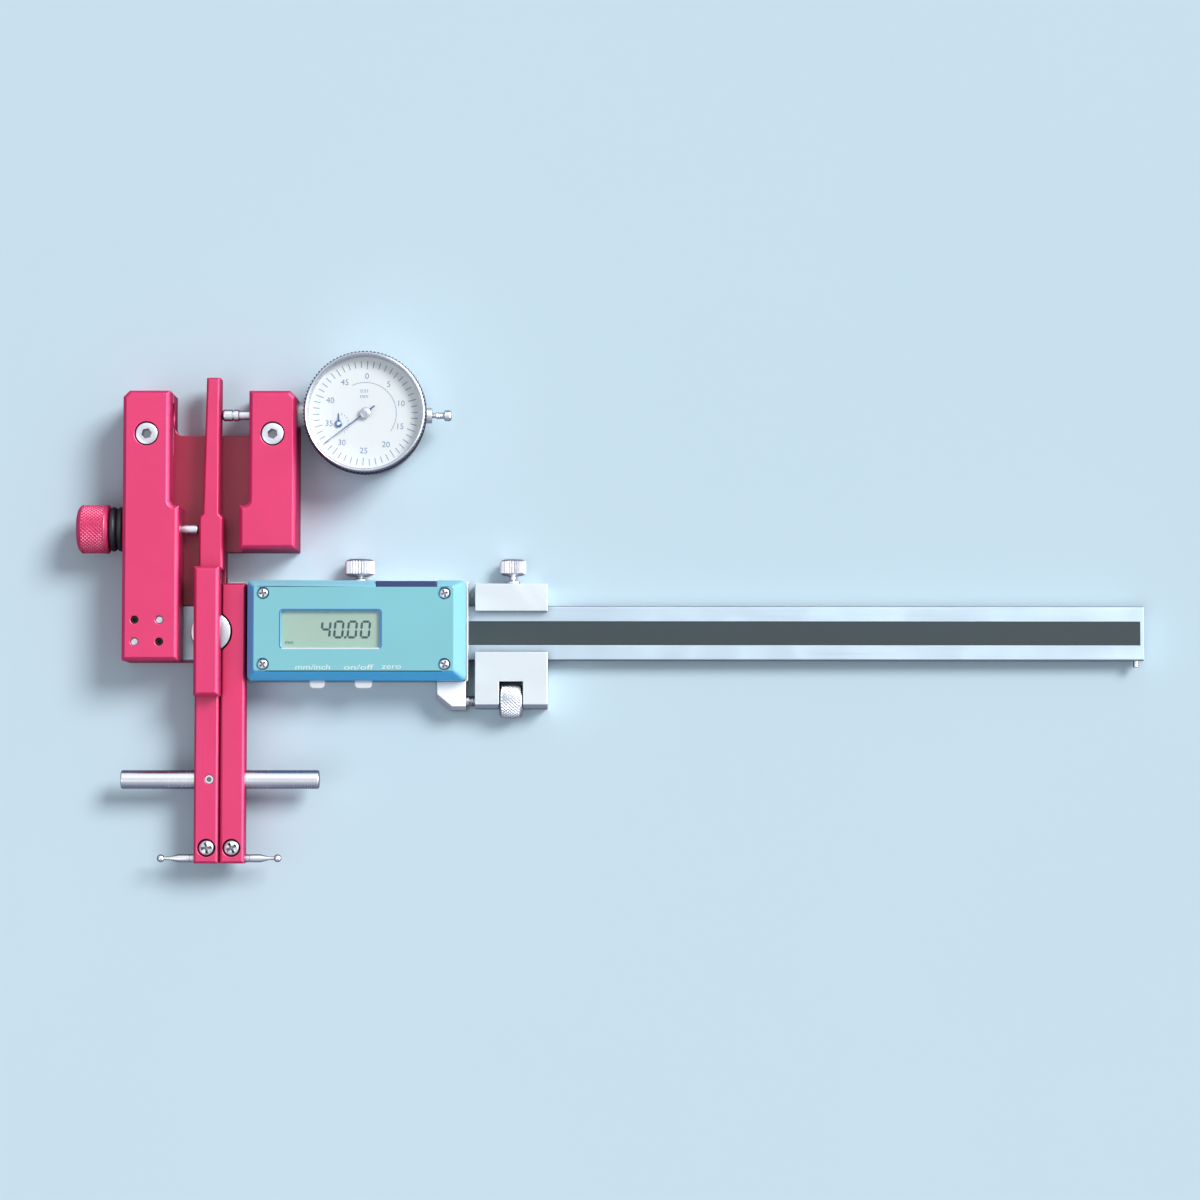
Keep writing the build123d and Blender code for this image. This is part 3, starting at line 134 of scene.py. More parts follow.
def break_edges(bm, width, segments=2, edges=None):
    """Rounds the sharp edges of a shape, or the edges given."""
    bmesh.ops.bevel(
        bm, geom=edges or sharp_edges(bm), offset=width, segments=segments, profile=0.5,
        affect="EDGES", material=-1, clamp_overlap=False, loop_slide=True,
    )


def broken_copy(node, width, join_flats=True):
    """A CAD node's own shape with its sharp edges broken."""
    bm = merged_copy(node)
    if join_flats:
        bmesh.ops.dissolve_limit(bm, angle_limit=radians(FLAT_ANGLE), verts=bm.verts, edges=bm.edges)
    break_edges(bm, width)
    return bm


def set_crispness(bm):
    """Keeps flat faces flat: an edge is crisp if it is sharp, or if a broad face meets a narrow strip."""
    for edge in bm.edges:
        if len(edge.link_faces) != 2:
            continue
        angle = edge.calc_face_angle()
        areas = sorted(f.calc_area() for f in edge.link_faces)
        broad = areas[1] > BROAD_TO_NARROW * areas[0]
        edge.smooth = not (angle > radians(SHARP_ANGLE) or (broad and angle > radians(STRIP_ANGLE)))
    for face in bm.faces:
        face.smooth = True


def turned(profile, steps, closed=False):
    """Points (along, radius) spun round the X axis. A closed profile makes a ring."""
    bm = bmesh.new()
    verts = [bm.verts.new((along, radius, 0)) for along, radius in profile]
    pairs = list(zip(verts, verts[1:])) + ([(verts[-1], verts[0])] if closed else [])
    for pair in pairs:
        bm.edges.new(pair)
    bmesh.ops.spin(
        bm, geom=bm.verts[:] + bm.edges[:], cent=(0, 0, 0), axis=(1, 0, 0),
        angle=2 * pi, steps=steps, use_merge=True,
    )
    bmesh.ops.remove_doubles(bm, verts=bm.verts, dist=WELD / 4)
    return bm


def stations(start, end, count, radius):
    """Evenly spaced points of a straight stretch of a profile."""
    return [(start + (end - start) * i / count, radius) for i in range(count + 1)]


def arc(centre, radius, first, last, count):
    """Points (along, radius) on an arc, its angles in degrees from the axis."""
    turns = [radians(first + (last - first) * i / count) for i in range(count + 1)]
    return [(centre[0] + radius * cos(t), centre[1] + radius * sin(t)) for t in turns]


def circle(centre, radius, steps):
    return arc(centre, radius, 0, 360, steps)[:-1]


def dome(base, rise, radius, count=8):
    """Points (along, radius) from the axis to the rim of a low dome."""
    turns = [pi / 2 * i / count for i in range(count + 1)]
    return [(base + rise * cos(t), radius * sin(t)) for t in turns]


def from_corner(along, radius, steps):
    """Points of a profile, given as steps from a corner of it."""
    return [(along + step, radius + rise) for step, rise in steps]


AXIS_TURNS = {
    "x": Matrix.Identity(4),
    "y": Matrix.Rotation(pi / 2, 4, "Z"),
    "z": Matrix.Rotation(-pi / 2, 4, "Y"),
}


def set_along(bm, axis, at):
    """Lays a shape made along X on another axis, through the point given."""
    place = Vector(at)
    place["xyz".index(axis)] = 0
    bmesh.ops.transform(bm, matrix=Matrix.Translation(place) @ AXIS_TURNS[axis], verts=bm.verts)
    return bm


def wave(turns):
    """A triangle wave that is 1 at whole turns and 0 halfway between."""
    return abs(2 * (turns - floor(turns)) - 1)


def press_pattern(bm, start, end, least_radius, depth, pattern):
    """Presses a pattern into the skin of a turned shape. pattern(turn, along) is 0 to 1 deep."""
    for vert in bm.verts:
        radius = sqrt(vert.co.y ** 2 + vert.co.z ** 2)
        if radius < least_radius or not start < vert.co.x < end:
            continue
        turn = atan2(vert.co.z, vert.co.y) / (2 * pi)
        scale = 1 - depth * pattern(turn, vert.co.x - start) / radius
        vert.co.y *= scale
        vert.co.z *= scale


def diamond_knurl(count, pitch):
    return lambda turn, along: max(wave(turn * count + along / pitch), wave(turn * count - along / pitch))


def straight_knurl(count):
    return lambda turn, along: wave(turn * count)


def screw_thread(pitch):
    return lambda turn, along: wave(turn - along / pitch)


def loop_at(bm, verts):
    """The edges whose two ends are both among the vertices given."""
    chosen = set(verts)
    return [e for e in bm.edges if e.verts[0] in chosen and e.verts[1] in chosen]


def new_verts(made):
    """The vertices among the things that an extrusion made."""
    return [item for item in made["geom"] if isinstance(item, bmesh.types.BMVert)]


def add_outline(bm, points, level):
    """A closed ring of edges through flat points."""
    verts = [bm.verts.new((x, y, level)) for x, y in points]
    return [bm.edges.new(pair) for pair in zip(verts, verts[1:] + verts[:1])]


def grow(bm, loop, radius, level):
    """Extrudes a loop of edges to a circle of that radius at that level."""
    verts = new_verts(bmesh.ops.extrude_edge_only(bm, edges=loop))
    for vert in verts:
        out = Vector((vert.co.x, vert.co.y, 0)).normalized() * radius
        vert.co = (out.x, out.y, level)
    return loop_at(bm, verts)


def hexagon_outline(flats):
    """The corners of a hexagon, that far across its flats."""
    corner = flats / sqrt(3)
    return [(corner * cos(pi / 3 * i), corner * sin(pi / 3 * i)) for i in range(6)]


def cross_outline(reach, width):
    """The corners of a cross with four equal arms."""
    half = width / 2
    arm = [(reach, -half), (reach, half), (half, half)]
    turns = [Matrix.Rotation(pi / 2 * i, 2) for i in range(4)]
    return [tuple(turn @ Vector(point)) for turn in turns for point in arm]


def driven_screw(outline, depth, floor_share, stages, cuts):
    """A screw along Z, its top at 0. The outline is its recess, stages are (radius, level)."""
    bm = bmesh.new()
    loop = add_outline(bm, [(x * floor_share, y * floor_share) for x, y in outline], -depth)
    bmesh.ops.subdivide_edges(bm, edges=loop, cuts=cuts)
    loop = bm.edges[:]
    bmesh.ops.contextual_create(bm, geom=loop)
    mouth = new_verts(bmesh.ops.extrude_edge_only(bm, edges=loop))
    for vert in mouth:
        vert.co = (vert.co.x / floor_share, vert.co.y / floor_share, 0)
    loop = loop_at(bm, mouth)
    for radius, level in stages:
        loop = grow(bm, loop, radius, level)
    bmesh.ops.contextual_create(bm, geom=loop)
    return bm


def add_shape(bm, other, matrix=Matrix.Identity(4)):
    """Moves another shape by the matrix and makes it part of this one."""
    mesh = bpy.data.meshes.new("joined")
    other.to_mesh(mesh)
    other.free()
    mesh.transform(matrix)
    bm.from_mesh(mesh)
    bpy.data.meshes.remove(mesh)


def thicken(bm, depth):
    """Raises all faces of a flat shape into a thin closed one."""
    verts = new_verts(bmesh.ops.extrude_face_region(bm, geom=bm.faces[:]))
    bmesh.ops.translate(bm, vec=(0, 0, depth), verts=verts)


def flat_bar(bm, width, length, matrix):
    """A flat rectangle across X and along Y, moved by the matrix."""
    size = Matrix.Diagonal((width, length, 1, 1))
    bmesh.ops.create_grid(bm, x_segments=1, y_segments=1, size=0.5, matrix=matrix @ size)


def lettering(bm, text, height, at, width=None, slant=0.0, turn=0.0):
    """Adds a word or number as flat faces, with its middle at a point."""
    curve = bpy.data.curves.new("lettering", "FONT")
    curve.body = text
    curve.resolution_u = 4
    holder = bpy.data.objects.new("lettering", curve)
    mesh = bpy.data.meshes.new_from_object(holder)
    xs = [v.co.x for v in mesh.vertices]
    ys = [v.co.y for v in mesh.vertices]
    tall = max(ys) - min(ys)
    scale_y = height / tall
    scale_x = width / (max(xs) - min(xs)) if width else scale_y
    centre = Matrix.Translation((-(max(xs) + min(xs)) / 2, -(max(ys) + min(ys)) / 2, 0))
    lean = Matrix(((1, slant, 0, 0), (0, 1, 0, 0), (0, 0, 1, 0), (0, 0, 0, 1)))
    place = Matrix.Translation(at) @ Matrix.Rotation(turn, 4, "Z")
    mesh.transform(place @ lean @ Matrix.Diagonal((scale_x, scale_y, 1, 1)) @ centre)
    bm.from_mesh(mesh)
    bpy.data.meshes.remove(mesh)
    bpy.data.objects.remove(holder)
    bpy.data.curves.remove(curve)


# ---- shader effects that several finishes share ----
def add_node(tree, kind, inputs=(), **settings):
    """Adds a shader node. Inputs are (name or number, value or socket) pairs."""
    node = tree.nodes.new(kind)
    for key, value in settings.items():
        setattr(node, key, value)
    for key, value in dict(inputs).items():
        if isinstance(value, bpy.types.NodeSocket):
            tree.links.new(value, node.inputs[key])
        else:
            node.inputs[key].default_value = value
    return node


def math_node(tree, operation, first, second=0.0, third=0.0, clamp=False):
    values = {0: first, 1: second, 2: third}
    return add_node(tree, "ShaderNodeMath", values, operation=operation, use_clamp=clamp).outputs[0]


def vector_math(tree, operation, first, second):
    return add_node(tree, "ShaderNodeVectorMath", {0: first, 1: second}, operation=operation).outputs


def dot_product(tree, first, second):
    return vector_math(tree, "DOT_PRODUCT", first, second)["Value"]


def noise(tree, place, scale, **more):
    return add_node(tree, "ShaderNodeTexNoise", {"Vector": place, "Scale": scale, **more}).outputs[0]


def spread(tree, value, low, high, least=0.0, most=1.0, soft=False):
    """Maps what lies between low and high to what lies between least and most."""
    values = {0: value, 1: low, 2: high, 3: least, 4: most}
    kind = "SMOOTHSTEP" if soft else "LINEAR"
    return add_node(tree, "ShaderNodeMapRange", values, interpolation_type=kind).outputs[0]


def mix_colour(tree, factor, first, second):
    values = {0: factor, 6: first, 7: second}
    return add_node(tree, "ShaderNodeMix", values, data_type="RGBA").outputs[2]


def object_place(tree):
    return tree.nodes.new("ShaderNodeTexCoord").outputs["Object"]


def light_path(tree):
    return tree.nodes.new("ShaderNodeLightPath").outputs


def new_effect(name, inputs, outputs, build):
    """A node group with named sockets. build(tree, given) returns what goes to each output."""
    tree = bpy.data.node_groups.new(name, "ShaderNodeTree")
    for label, value in inputs.items():
        kind = "NodeSocketVector" if isinstance(value, tuple) else "NodeSocketFloat"
        socket = tree.interface.new_socket(label, in_out="INPUT", socket_type=kind)
        socket.default_value = value
    for label in outputs:
        tree.interface.new_socket(label, in_out="OUTPUT", socket_type="NodeSocketFloat")
    given = tree.nodes.new("NodeGroupInput").outputs
    result = tree.nodes.new("NodeGroupOutput").inputs
    for label, socket in zip(outputs, build(tree, given)):
        tree.links.new(socket, result[label])
    return tree


def build_grain(tree, given):
    """Fine blasted grain and slow cloudy variation."""
    place = object_place(tree)
    return [
        noise(tree, place, given["Grain Scale"], Detail=2.0),
        noise(tree, place, given["Cloud Scale"], Detail=4.0, Roughness=0.6),
    ]


def build_lines(tree, given):
    """Long fine lines. Stretch is how many lines there are to a metre along each axis."""
    place = vector_math(tree, "MULTIPLY", object_place(tree), given["Stretch"])[0]
    return [noise(tree, place, 1.0, Detail=3.0, Roughness=0.65)]


def build_wear(tree, given):
    """A mask that is 1 where an outer edge has been rubbed."""
    rounded = add_node(tree, "ShaderNodeBevel", {"Radius": given["Radius"]}, samples=4).outputs[0]
    true_normal = tree.nodes.new("ShaderNodeNewGeometry").outputs["Normal"]
    turned_away = math_node(tree, "SUBTRACT", 1.0, dot_product(tree, rounded, true_normal))
    edge = math_node(tree, "MULTIPLY", turned_away, given["Gain"])
    patch = noise(tree, object_place(tree), given["Patch Scale"], Detail=3.0)
    patchy = math_node(tree, "MULTIPLY_ADD", patch, 1.6, -0.25)
    return [math_node(tree, "MULTIPLY", edge, patchy, clamp=True)]


def build_marks(tree, given):
    """Soft handling marks that change the gloss."""
    patch = noise(tree, object_place(tree), given["Scale"], Detail=5.0, Distortion=0.8)
    return [spread(tree, patch, 0.42, 0.68)]


def build_open(tree, given):
    """A painted shade mask: 1 in open places, falling to 0 deep in a recess, where the finishes darken their
    colour as painted shade.
    """
    covered = add_node(tree, "ShaderNodeAmbientOcclusion", {"Distance": given["Reach"]}, samples=4)
    return [spread(tree, covered.outputs["AO"], 0.15, 0.85)]


GRAIN = new_effect(
    "fine_grain", {"Grain Scale": 6000.0, "Cloud Scale": 40.0}, ["Grain", "Cloud"], build_grain
)
BRUSH = new_effect("brushed_lines", {"Stretch": (20.0, 4000.0, 4000.0)}, ["Lines"], build_lines)
WEAR = new_effect("worn_edges", {"Radius": 0.0004, "Gain": 3.0, "Patch Scale": 300.0}, ["Wear"], build_wear)
SMUDGE = new_effect("handling_marks", {"Scale": 70.0}, ["Marks"], build_marks)
# Painted shade in corners and recesses, from how much of the surroundings a point sees.
CORNER_SHADE = new_effect("painted_corner_shade", {"Reach": 0.003}, ["Open"], build_open)


def effect(tree, group, **values):
    node = tree.nodes.new("ShaderNodeGroup")
    node.node_tree = group
    for label, value in values.items():
        node.inputs[label.replace("_", " ")].default_value = value
    return node.outputs


# ---- finishes ----
MASK_RANGE = (0.2, 0.8)   # the values of a mask between which the gloss changes


def rgb(red, green, blue):
    """A colour given as it looks on a screen, 0 to 255, for the renderer."""
    def linear(value):
        value /= 255
        return value / 12.92 if value <= 0.04045 else ((value + 0.055) / 1.055) ** 2.4
    return tuple(linear(v) for v in (red, green, blue)) + (1.0,)


def shade(colour, amount):
    return tuple(v * amount for v in colour[:3]) + (1.0,)


def new_material(name, **plain):
    """A material with one Principled shader. Plain values are set on the shader's own sockets."""
    material = bpy.data.materials.new(name)
    material.use_nodes = True
    tree = material.node_tree
    tree.nodes.clear()
    shader = tree.nodes.new("ShaderNodeBsdfPrincipled")
    output = tree.nodes.new("ShaderNodeOutputMaterial")
    tree.links.new(shader.outputs[0], output.inputs["Surface"])
    for label, value in plain.items():
        shader.inputs[label.replace("_", " ")].default_value = value
    return material, tree, shader


def surface_masks(tree, grain_scale, cloud_scale, marks_scale):
    """Fine grain, slow clouds and handling marks."""
    grain = effect(tree, GRAIN, Grain_Scale=grain_scale, Cloud_Scale=cloud_scale)
    return grain["Grain"], grain["Cloud"], effect(tree, SMUDGE, Scale=marks_scale)["Marks"]


def flecked(tree, mask, amount, base, fleck):
    """A colour with flecks of another, as many as the mask and the amount give."""
    return mix_colour(tree, math_node(tree, "MULTIPLY", mask, amount), base, fleck)


def raise_surface(tree, shader, height, distance, strength):
    bump = add_node(tree, "ShaderNodeBump", {"Strength": strength, "Distance": distance, "Height": height})
    tree.links.new(bump.outputs[0], shader.inputs["Normal"])


def drive_roughness(tree, shader, mask, smooth, rough):
    tree.links.new(spread(tree, mask, *MASK_RANGE, smooth, rough), shader.inputs["Roughness"])


def anodised(name, colour, edge_wear_and_highlight_colour):
    """Blasted and anodised aluminium, with lighter broken edges that are partly rubbed wear and partly painted
    highlight, soft handling marks, and painted shade in deep corners.
    """
    material, tree, shader = new_material(name, Metallic=0.25, Specular_IOR_Level=0.9)
    grain, cloud, marks = surface_masks(tree, 5200.0, 28.0, 45.0)
    wear = effect(tree, WEAR, Radius=0.00045, Gain=2.6, Patch_Scale=420.0)["Wear"]
    unshaded_place = effect(tree, CORNER_SHADE, Reach=0.024)["Open"]
    cloudy = mix_colour(tree, cloud, shade(colour, 0.86), shade(colour, 1.12))
    # The broken edges lighten towards a pink that is partly rubbed wear and partly a painted highlight.
    worn = mix_colour(tree, wear, flecked(tree, grain, 0.35, cloudy, shade(colour, 0.72)), edge_wear_and_highlight_colour)
    # Painted shade: deep corners and recesses darken towards 0.45 of the colour.
    tree.links.new(mix_colour(tree, unshaded_place, shade(colour, 0.45), worn), shader.inputs["Base Color"])
    drive_roughness(tree, shader, math_node(tree, "MULTIPLY_ADD", marks, -0.35, grain), 0.33, 0.50)
    raise_surface(tree, shader, grain, 0.00003, 0.5)
    return material


def worked_metal(name, colour, smooth, rough, stretch, line_depth, reach=0.003):
    """Ground, brushed or turned metal, its lines running where stretch is smallest, with painted shade in its
    recesses.
    """
    material, tree, shader = new_material(name, Metallic=1.0)
    lines = effect(tree, BRUSH, Stretch=stretch)["Lines"]
    _, cloud, marks = surface_masks(tree, 2500.0, 22.0, 60.0)
    wear = effect(tree, WEAR, Radius=0.0003, Gain=2.0, Patch_Scale=500.0)["Wear"]
    unshaded_place = effect(tree, CORNER_SHADE, Reach=reach)["Open"]
    cloudy = mix_colour(tree, cloud, shade(colour, 0.9), colour)
    worn = mix_colour(tree, wear, flecked(tree, lines, 0.3, cloudy, shade(colour, 0.78)), shade(colour, 1.08))
    # Painted shade: recesses darken to a tenth of the colour.
    tree.links.new(mix_colour(tree, unshaded_place, shade(colour, 0.10), worn), shader.inputs["Base Color"])
    drive_roughness(tree, shader, math_node(tree, "MULTIPLY_ADD", marks, 0.25, lines), smooth, rough)
    raise_surface(tree, shader, lines, line_depth, 0.6)
    return material


def grip_ring(name, colour, grip_colour, radius):
    """Bright plate whose grip band, outside a radius from the dial's axis, is dark."""
    material = worked_metal(name, colour, 0.18, 0.30, ACROSS_Z, 0.00001)
    tree = material.node_tree
    shader = next(n for n in tree.nodes if n.type == "BSDF_PRINCIPLED")
    plated = shader.inputs["Base Color"].links[0].from_socket
    axis = joint_place("bezel_turn") * MM
    flat = vector_math(tree, "MULTIPLY", object_place(tree), (1, 1, 0))[0]
    reach = vector_math(tree, "DISTANCE", flat, (axis.x, axis.y, 0))["Value"]
    outside = math_node(tree, "GREATER_THAN", reach, radius * MM)
    tree.links.new(mix_colour(tree, outside, plated, grip_colour), shader.inputs["Base Color"])
    return material


def moulded(name, colour, smooth, rough, grain_scale=3000.0, depth=0.00002, shine=0.5):
    """Moulded plastic or rubber with a fine texture."""
    material, tree, shader = new_material(name, Specular_IOR_Level=shine)
    grain, cloud, marks = surface_masks(tree, grain_scale, 35.0, 55.0)
    cloudy = mix_colour(tree, cloud, shade(colour, 0.93), shade(colour, 1.05))
    tree.links.new(flecked(tree, grain, 0.16, cloudy, shade(colour, 0.8)), shader.inputs["Base Color"])
    drive_roughness(tree, shader, math_node(tree, "MULTIPLY_ADD", marks, 0.3, grain), smooth, rough)
    raise_surface(tree, shader, grain, depth, 0.5)
    return material


def shell_plastic(name, colour, painted_shade_colour):
    """The display's shell, with painted shade: a deeper blue on the walls that look left and down."""
    shine = {"Specular_IOR_Level": 0.35, "Coat_Weight": 0.08, "Coat_Roughness": 0.12}
    material, tree, shader = new_material(name, **shine)
    grain, cloud, marks = surface_masks(tree, 3600.0, 30.0, 55.0)
    normal = tree.nodes.new("ShaderNodeTexCoord").outputs["Normal"]
    # Painted shade: the walls that look left and down are given the deeper blue.
    painted_shade_side = spread(tree, dot_product(tree, normal, (-0.9, -0.9, 0.0)), -0.25, 0.45, soft=True)
    base = mix_colour(tree, painted_shade_side, colour, painted_shade_colour)
    tree.links.new(flecked(tree, cloud, 0.18, base, painted_shade_colour), shader.inputs["Base Color"])
    drive_roughness(tree, shader, math_node(tree, "MULTIPLY_ADD", marks, 0.3, grain), 0.25, 0.36)
    raise_surface(tree, shader, grain, 0.00002, 0.35)
    return material


def clear_pane(name, tint, smear):
    """Clear glass or plastic that lets lamp light straight through."""
    material, tree, shader = new_material(name, Transmission_Weight=1.0, IOR=1.3, Base_Color=tint)
    drive_roughness(tree, shader, effect(tree, SMUDGE, Scale=80.0)["Marks"], 0.0, smear)
    clear = add_node(tree, "ShaderNodeBsdfTransparent", {"Color": tint})
    light = light_path(tree)
    through = math_node(tree, "MAXIMUM", light["Is Shadow Ray"], light["Is Diffuse Ray"])
    blend = add_node(tree, "ShaderNodeMixShader", {0: through, 1: shader.outputs[0], 2: clear.outputs[0]})
    output = next(n for n in tree.nodes if n.type == "OUTPUT_MATERIAL")
    tree.links.new(blend.outputs[0], output.inputs["Surface"])
    return material


ALONG_X = (30.0, 3800.0, 3800.0)
ACROSS_X = (4200.0, 60.0, 60.0)
ACROSS_Y = (60.0, 4200.0, 60.0)
ACROSS_Z = (60.0, 60.0, 4200.0)
BEZEL_GRIP_RADIUS = 19.42
# The lighter pink of the broken red edges, partly rubbed wear and partly a painted highlight.
RED_EDGE_WEAR_AND_HIGHLIGHT = rgb(252, 160, 196)

RECIPES = {
    anodised: {         # colour, colour of the edges, partly rubbed wear and partly painted highlight
        "anodised_red": (rgb(237, 46, 114), RED_EDGE_WEAR_AND_HIGHLIGHT),
        # the same red made darker as painted shade, for the back plate's web
        "deep_red": (rgb(196, 36, 84), RED_EDGE_WEAR_AND_HIGHLIGHT),
    },
    worked_metal: {     # colour, roughness from and to, run of the lines, their depth, reach of the painted corner shade
        "beam_steel": (rgb(217, 225, 229), 0.30, 0.46, ALONG_X, 0.00002),
        "bright_steel": (rgb(232, 234, 240), 0.16, 0.30, ACROSS_X, 0.000012),
        "dark_steel": (rgb(92, 88, 90), 0.30, 0.48, ACROSS_Z, 0.00001),
        "satin_aluminium": (rgb(236, 239, 242), 0.36, 0.52, ALONG_X, 0.00001),
        "brass": (rgb(214, 182, 110), 0.28, 0.42, ACROSS_Z, 0.00001),
        "blued_steel": (rgb(80, 108, 150), 0.26, 0.40, ACROSS_Z, 0.000004),
        "ground_steel": (rgb(189, 207, 219), 0.30, 0.46, ALONG_X, 0.00002),
        "turned_steel": (rgb(232, 234, 240), 0.18, 0.34, ACROSS_Y, 0.000012),
        "knurled_steel": (rgb(236, 238, 244), 0.30, 0.42, ACROSS_Z, 0.000004, 0.0009),
        "thumb_steel": (rgb(240, 242, 246), 0.30, 0.42, ACROSS_Y, 0.000006, 0.0008),
        "faced_steel": (rgb(222, 224, 232), 0.20, 0.36, ACROSS_Z, 0.00001),
    },
    moulded: {          # colour, roughness from and to, scale and depth of the grain, shine
        "scale_strip": (rgb(60, 72, 75), 0.42, 0.55, 3000.0, 0.00002, 0.35),
        "ring_rubber": (rgb(28, 30, 38), 0.36, 0.55, 1800.0, 0.00003),
        "button_white": (rgb(240, 241, 243), 0.30, 0.42),
        "port_navy": (rgb(44, 62, 112), 0.36, 0.5),
        "circuit_green": (rgb(28, 104, 66), 0.28, 0.4),
        "lcd_grey": (rgb(200, 214, 202), 0.22, 0.32, 5000.0, 0.000004),
        "dial_white": (rgb(254, 255, 255), 0.40, 0.52, 4500.0, 0.000004),
        "face_film": (rgb(140, 212, 222), 0.34, 0.46, 5200.0, 0.000006, 0.45),
        "white_print": (rgb(244, 250, 252), 0.40, 0.5),
        # painted shade of the window's recessed walls
        "blue_print": (rgb(62, 128, 204), 0.35, 0.45),
        "dial_print": (rgb(112, 142, 172), 0.45, 0.55),
        "liquid_print": (rgb(58, 82, 92), 0.35, 0.45),
    },
    shell_plastic: {    # colour, painted shade colour of the walls that look left and down
        "display_shell": (rgb(160, 230, 246), rgb(84, 194, 255)),
    },
    clear_pane: {       # tint, roughness of the handling marks
        "window_clear": (rgb(246, 252, 250), 0.05),
        "crystal_clear": (rgb(252, 254, 255), 0.03),
    },
    grip_ring: {        # colour, colour of the grip band, radius inside the band
        "bezel_plate": (rgb(214, 218, 228), rgb(74, 74, 78), BEZEL_GRIP_RADIUS),
    },
}
finishes = {name: recipe(name, *row) for recipe, rows in RECIPES.items() for name, row in rows.items()}


# ---- finished pieces ----
def place_object(name, data, matrix=None):
    """Puts a mesh, a lamp or a camera in the scene."""
    holder = bpy.data.objects.new(name, data)
    if matrix is not None:
        holder.matrix_world = matrix
    bpy.context.scene.collection.objects.link(holder)
    return holder


def finish_piece(name, bm, body, slot, finish=None, replaces=()):
    """Turns a shape in millimetres into a piece that rides on a body."""
    bmesh.ops.recalc_face_normals(bm, faces=bm.faces)
    set_crispness(bm)
    mesh = bpy.data.meshes.new(name)
    bm.to_mesh(mesh)
    bm.free()
    mesh.transform(Matrix.Scale(MM, 4))
    mesh.materials.append(finishes[finish or slot])
    piece = place_object(name, mesh)
    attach(piece, body)
    if replaces:
        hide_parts(*replaces)
    return piece


def stand_for(node, bm, finish=None):
    """Puts a finer shape in the place of a CAD node."""
    return finish_piece(f"{node}_finished", bm, body_of[node], slot_of[node], finish, [node])


def stand_turned(node, axis, profile, steps, finish=None, closed=False, pattern=None, at=None):
    """Puts a turned shape in the place of a CAD node, through the node's middle or another point."""
    bm = turned(profile, steps, closed)
    if pattern:
        press_pattern(bm, *pattern)
    stand_for(node, set_along(bm, axis, at or middle_of(node)), finish)


def finish_print(name, bm, finish, body="slider", slot="display_shell", thickness=PRINT_THICKNESS):
    """Thickens flat faces into a piece of their own."""
    thicken(bm, thickness)
    finish_piece(name, bm, body, slot, finish)


def dress_plain_nodes():
    """Gives every CAD node the finish of its slot. The nodes replaced later are hidden."""
    for node, piece in frame["nodes"].items():
        piece.data.materials.clear()
        piece.data.materials.append(finishes[slot_of[node]])


# ---- yoke, rocker and arms ----
MACHINED_EDGE = 0.22
SLIDE_EDGE = 0.18
ARM_EDGE = 0.16
FINE_EDGE = 0.12

MACHINED = {
    "back_plate": MACHINED_EDGE,
    "left_column": MACHINED_EDGE,
    "right_column": MACHINED_EDGE,
    "rocker_block": MACHINED_EDGE,
    "rocker_bar": ARM_EDGE,
    "left_arm": ARM_EDGE,
    "right_arm": ARM_EDGE,
    "beam": FINE_EDGE,
    "slider_body": SLIDE_EDGE,
    "slider_back_plate": FINE_EDGE,
    "carriage_block": SLIDE_EDGE,
    "gauge_back_cover": FINE_EDGE,
    "port_cover": FINE_EDGE,
}
# The back plate is a darker red as painted shade, for its web that lies deep between the columns.
OWN_FINISH = {"back_plate": "deep_red", "beam": "ground_steel"}


def make_machined_parts():
    for node, width in MACHINED.items():
        stand_for(node, broken_copy(node, width), OWN_FINISH.get(node))


# ---- screws ----
HEX_CUTS = 7
HEX_FLOOR = 0.97          # a recess's floor, as a share of its mouth
CROSS_CUTS = 3
CROSS_FLOOR = 0.62
MOUTH_MARGIN = 0.15
HEAD_EDGE = 0.25
SET_SCREW_EDGE = 0.15
SOCKET_SHANK = 0.55       # shanks are that share of the head's radius
CROSS_SHANK = 0.5
CROWN_SHARE = 0.55        # how much of a round head's height is its crown
CROWN_RINGS = (0.66, 0.8, 0.9, 0.97, 1.0)
STYLUS_SCREW = (1.7, 1.7, 0.8, 1.2)
ROD_SCREW = (1.5, 1.1)
ROD_SCREW_LIMIT = 2       # a larger radius is a stylus screw's
FRONT, BACK = 1, -1


def socket_screw(radius, length, head_height, flats, depth):
    """A socket head screw with its top at 0."""
    shank = radius * SOCKET_SHANK
    middle = HEAD_EDGE * 0.3
    stages = [
        (flats / sqrt(3) + MOUTH_MARGIN, 0.0), (radius - HEAD_EDGE, 0.0), (radius - middle, -middle),
        (radius, -HEAD_EDGE), (radius, -head_height), (shank, -head_height), (shank, -length),
    ]
    return driven_screw(hexagon_outline(flats), depth, HEX_FLOOR, stages, HEX_CUTS)


def set_screw(radius, length, flats, depth):
    """A headless socket screw with its top at 0."""
    stages = [
        (flats / sqrt(3) + MOUTH_MARGIN * 0.5, 0.0), (radius - SET_SCREW_EDGE, 0.0),
        (radius, -SET_SCREW_EDGE), (radius, -length),
    ]
    return driven_screw(hexagon_outline(flats), depth, HEX_FLOOR, stages, HEX_CUTS)


def cross_screw(radius, length, head_height, reach, width, depth):
    """A round-topped screw with a cross recess, its top at 0."""
    crown = head_height * CROWN_SHARE
    shank = radius * CROSS_SHANK
    stages = [(radius * share, -crown * (1 - sqrt(1 - share ** 2))) for share in CROWN_RINGS]
    stages += [(radius, -head_height), (shank, -head_height), (shank, -length)]
    return driven_screw(cross_outline(reach, width), depth, CROSS_FLOOR, stages, CROSS_CUTS)


def left_arm_screw(radius, length):
    """The larger one clamps the stylus, the small headless one holds the rod."""
    if radius > ROD_SCREW_LIMIT:
        return cross_screw(radius, length, *STYLUS_SCREW)
    return set_screw(radius, length, *ROD_SCREW)


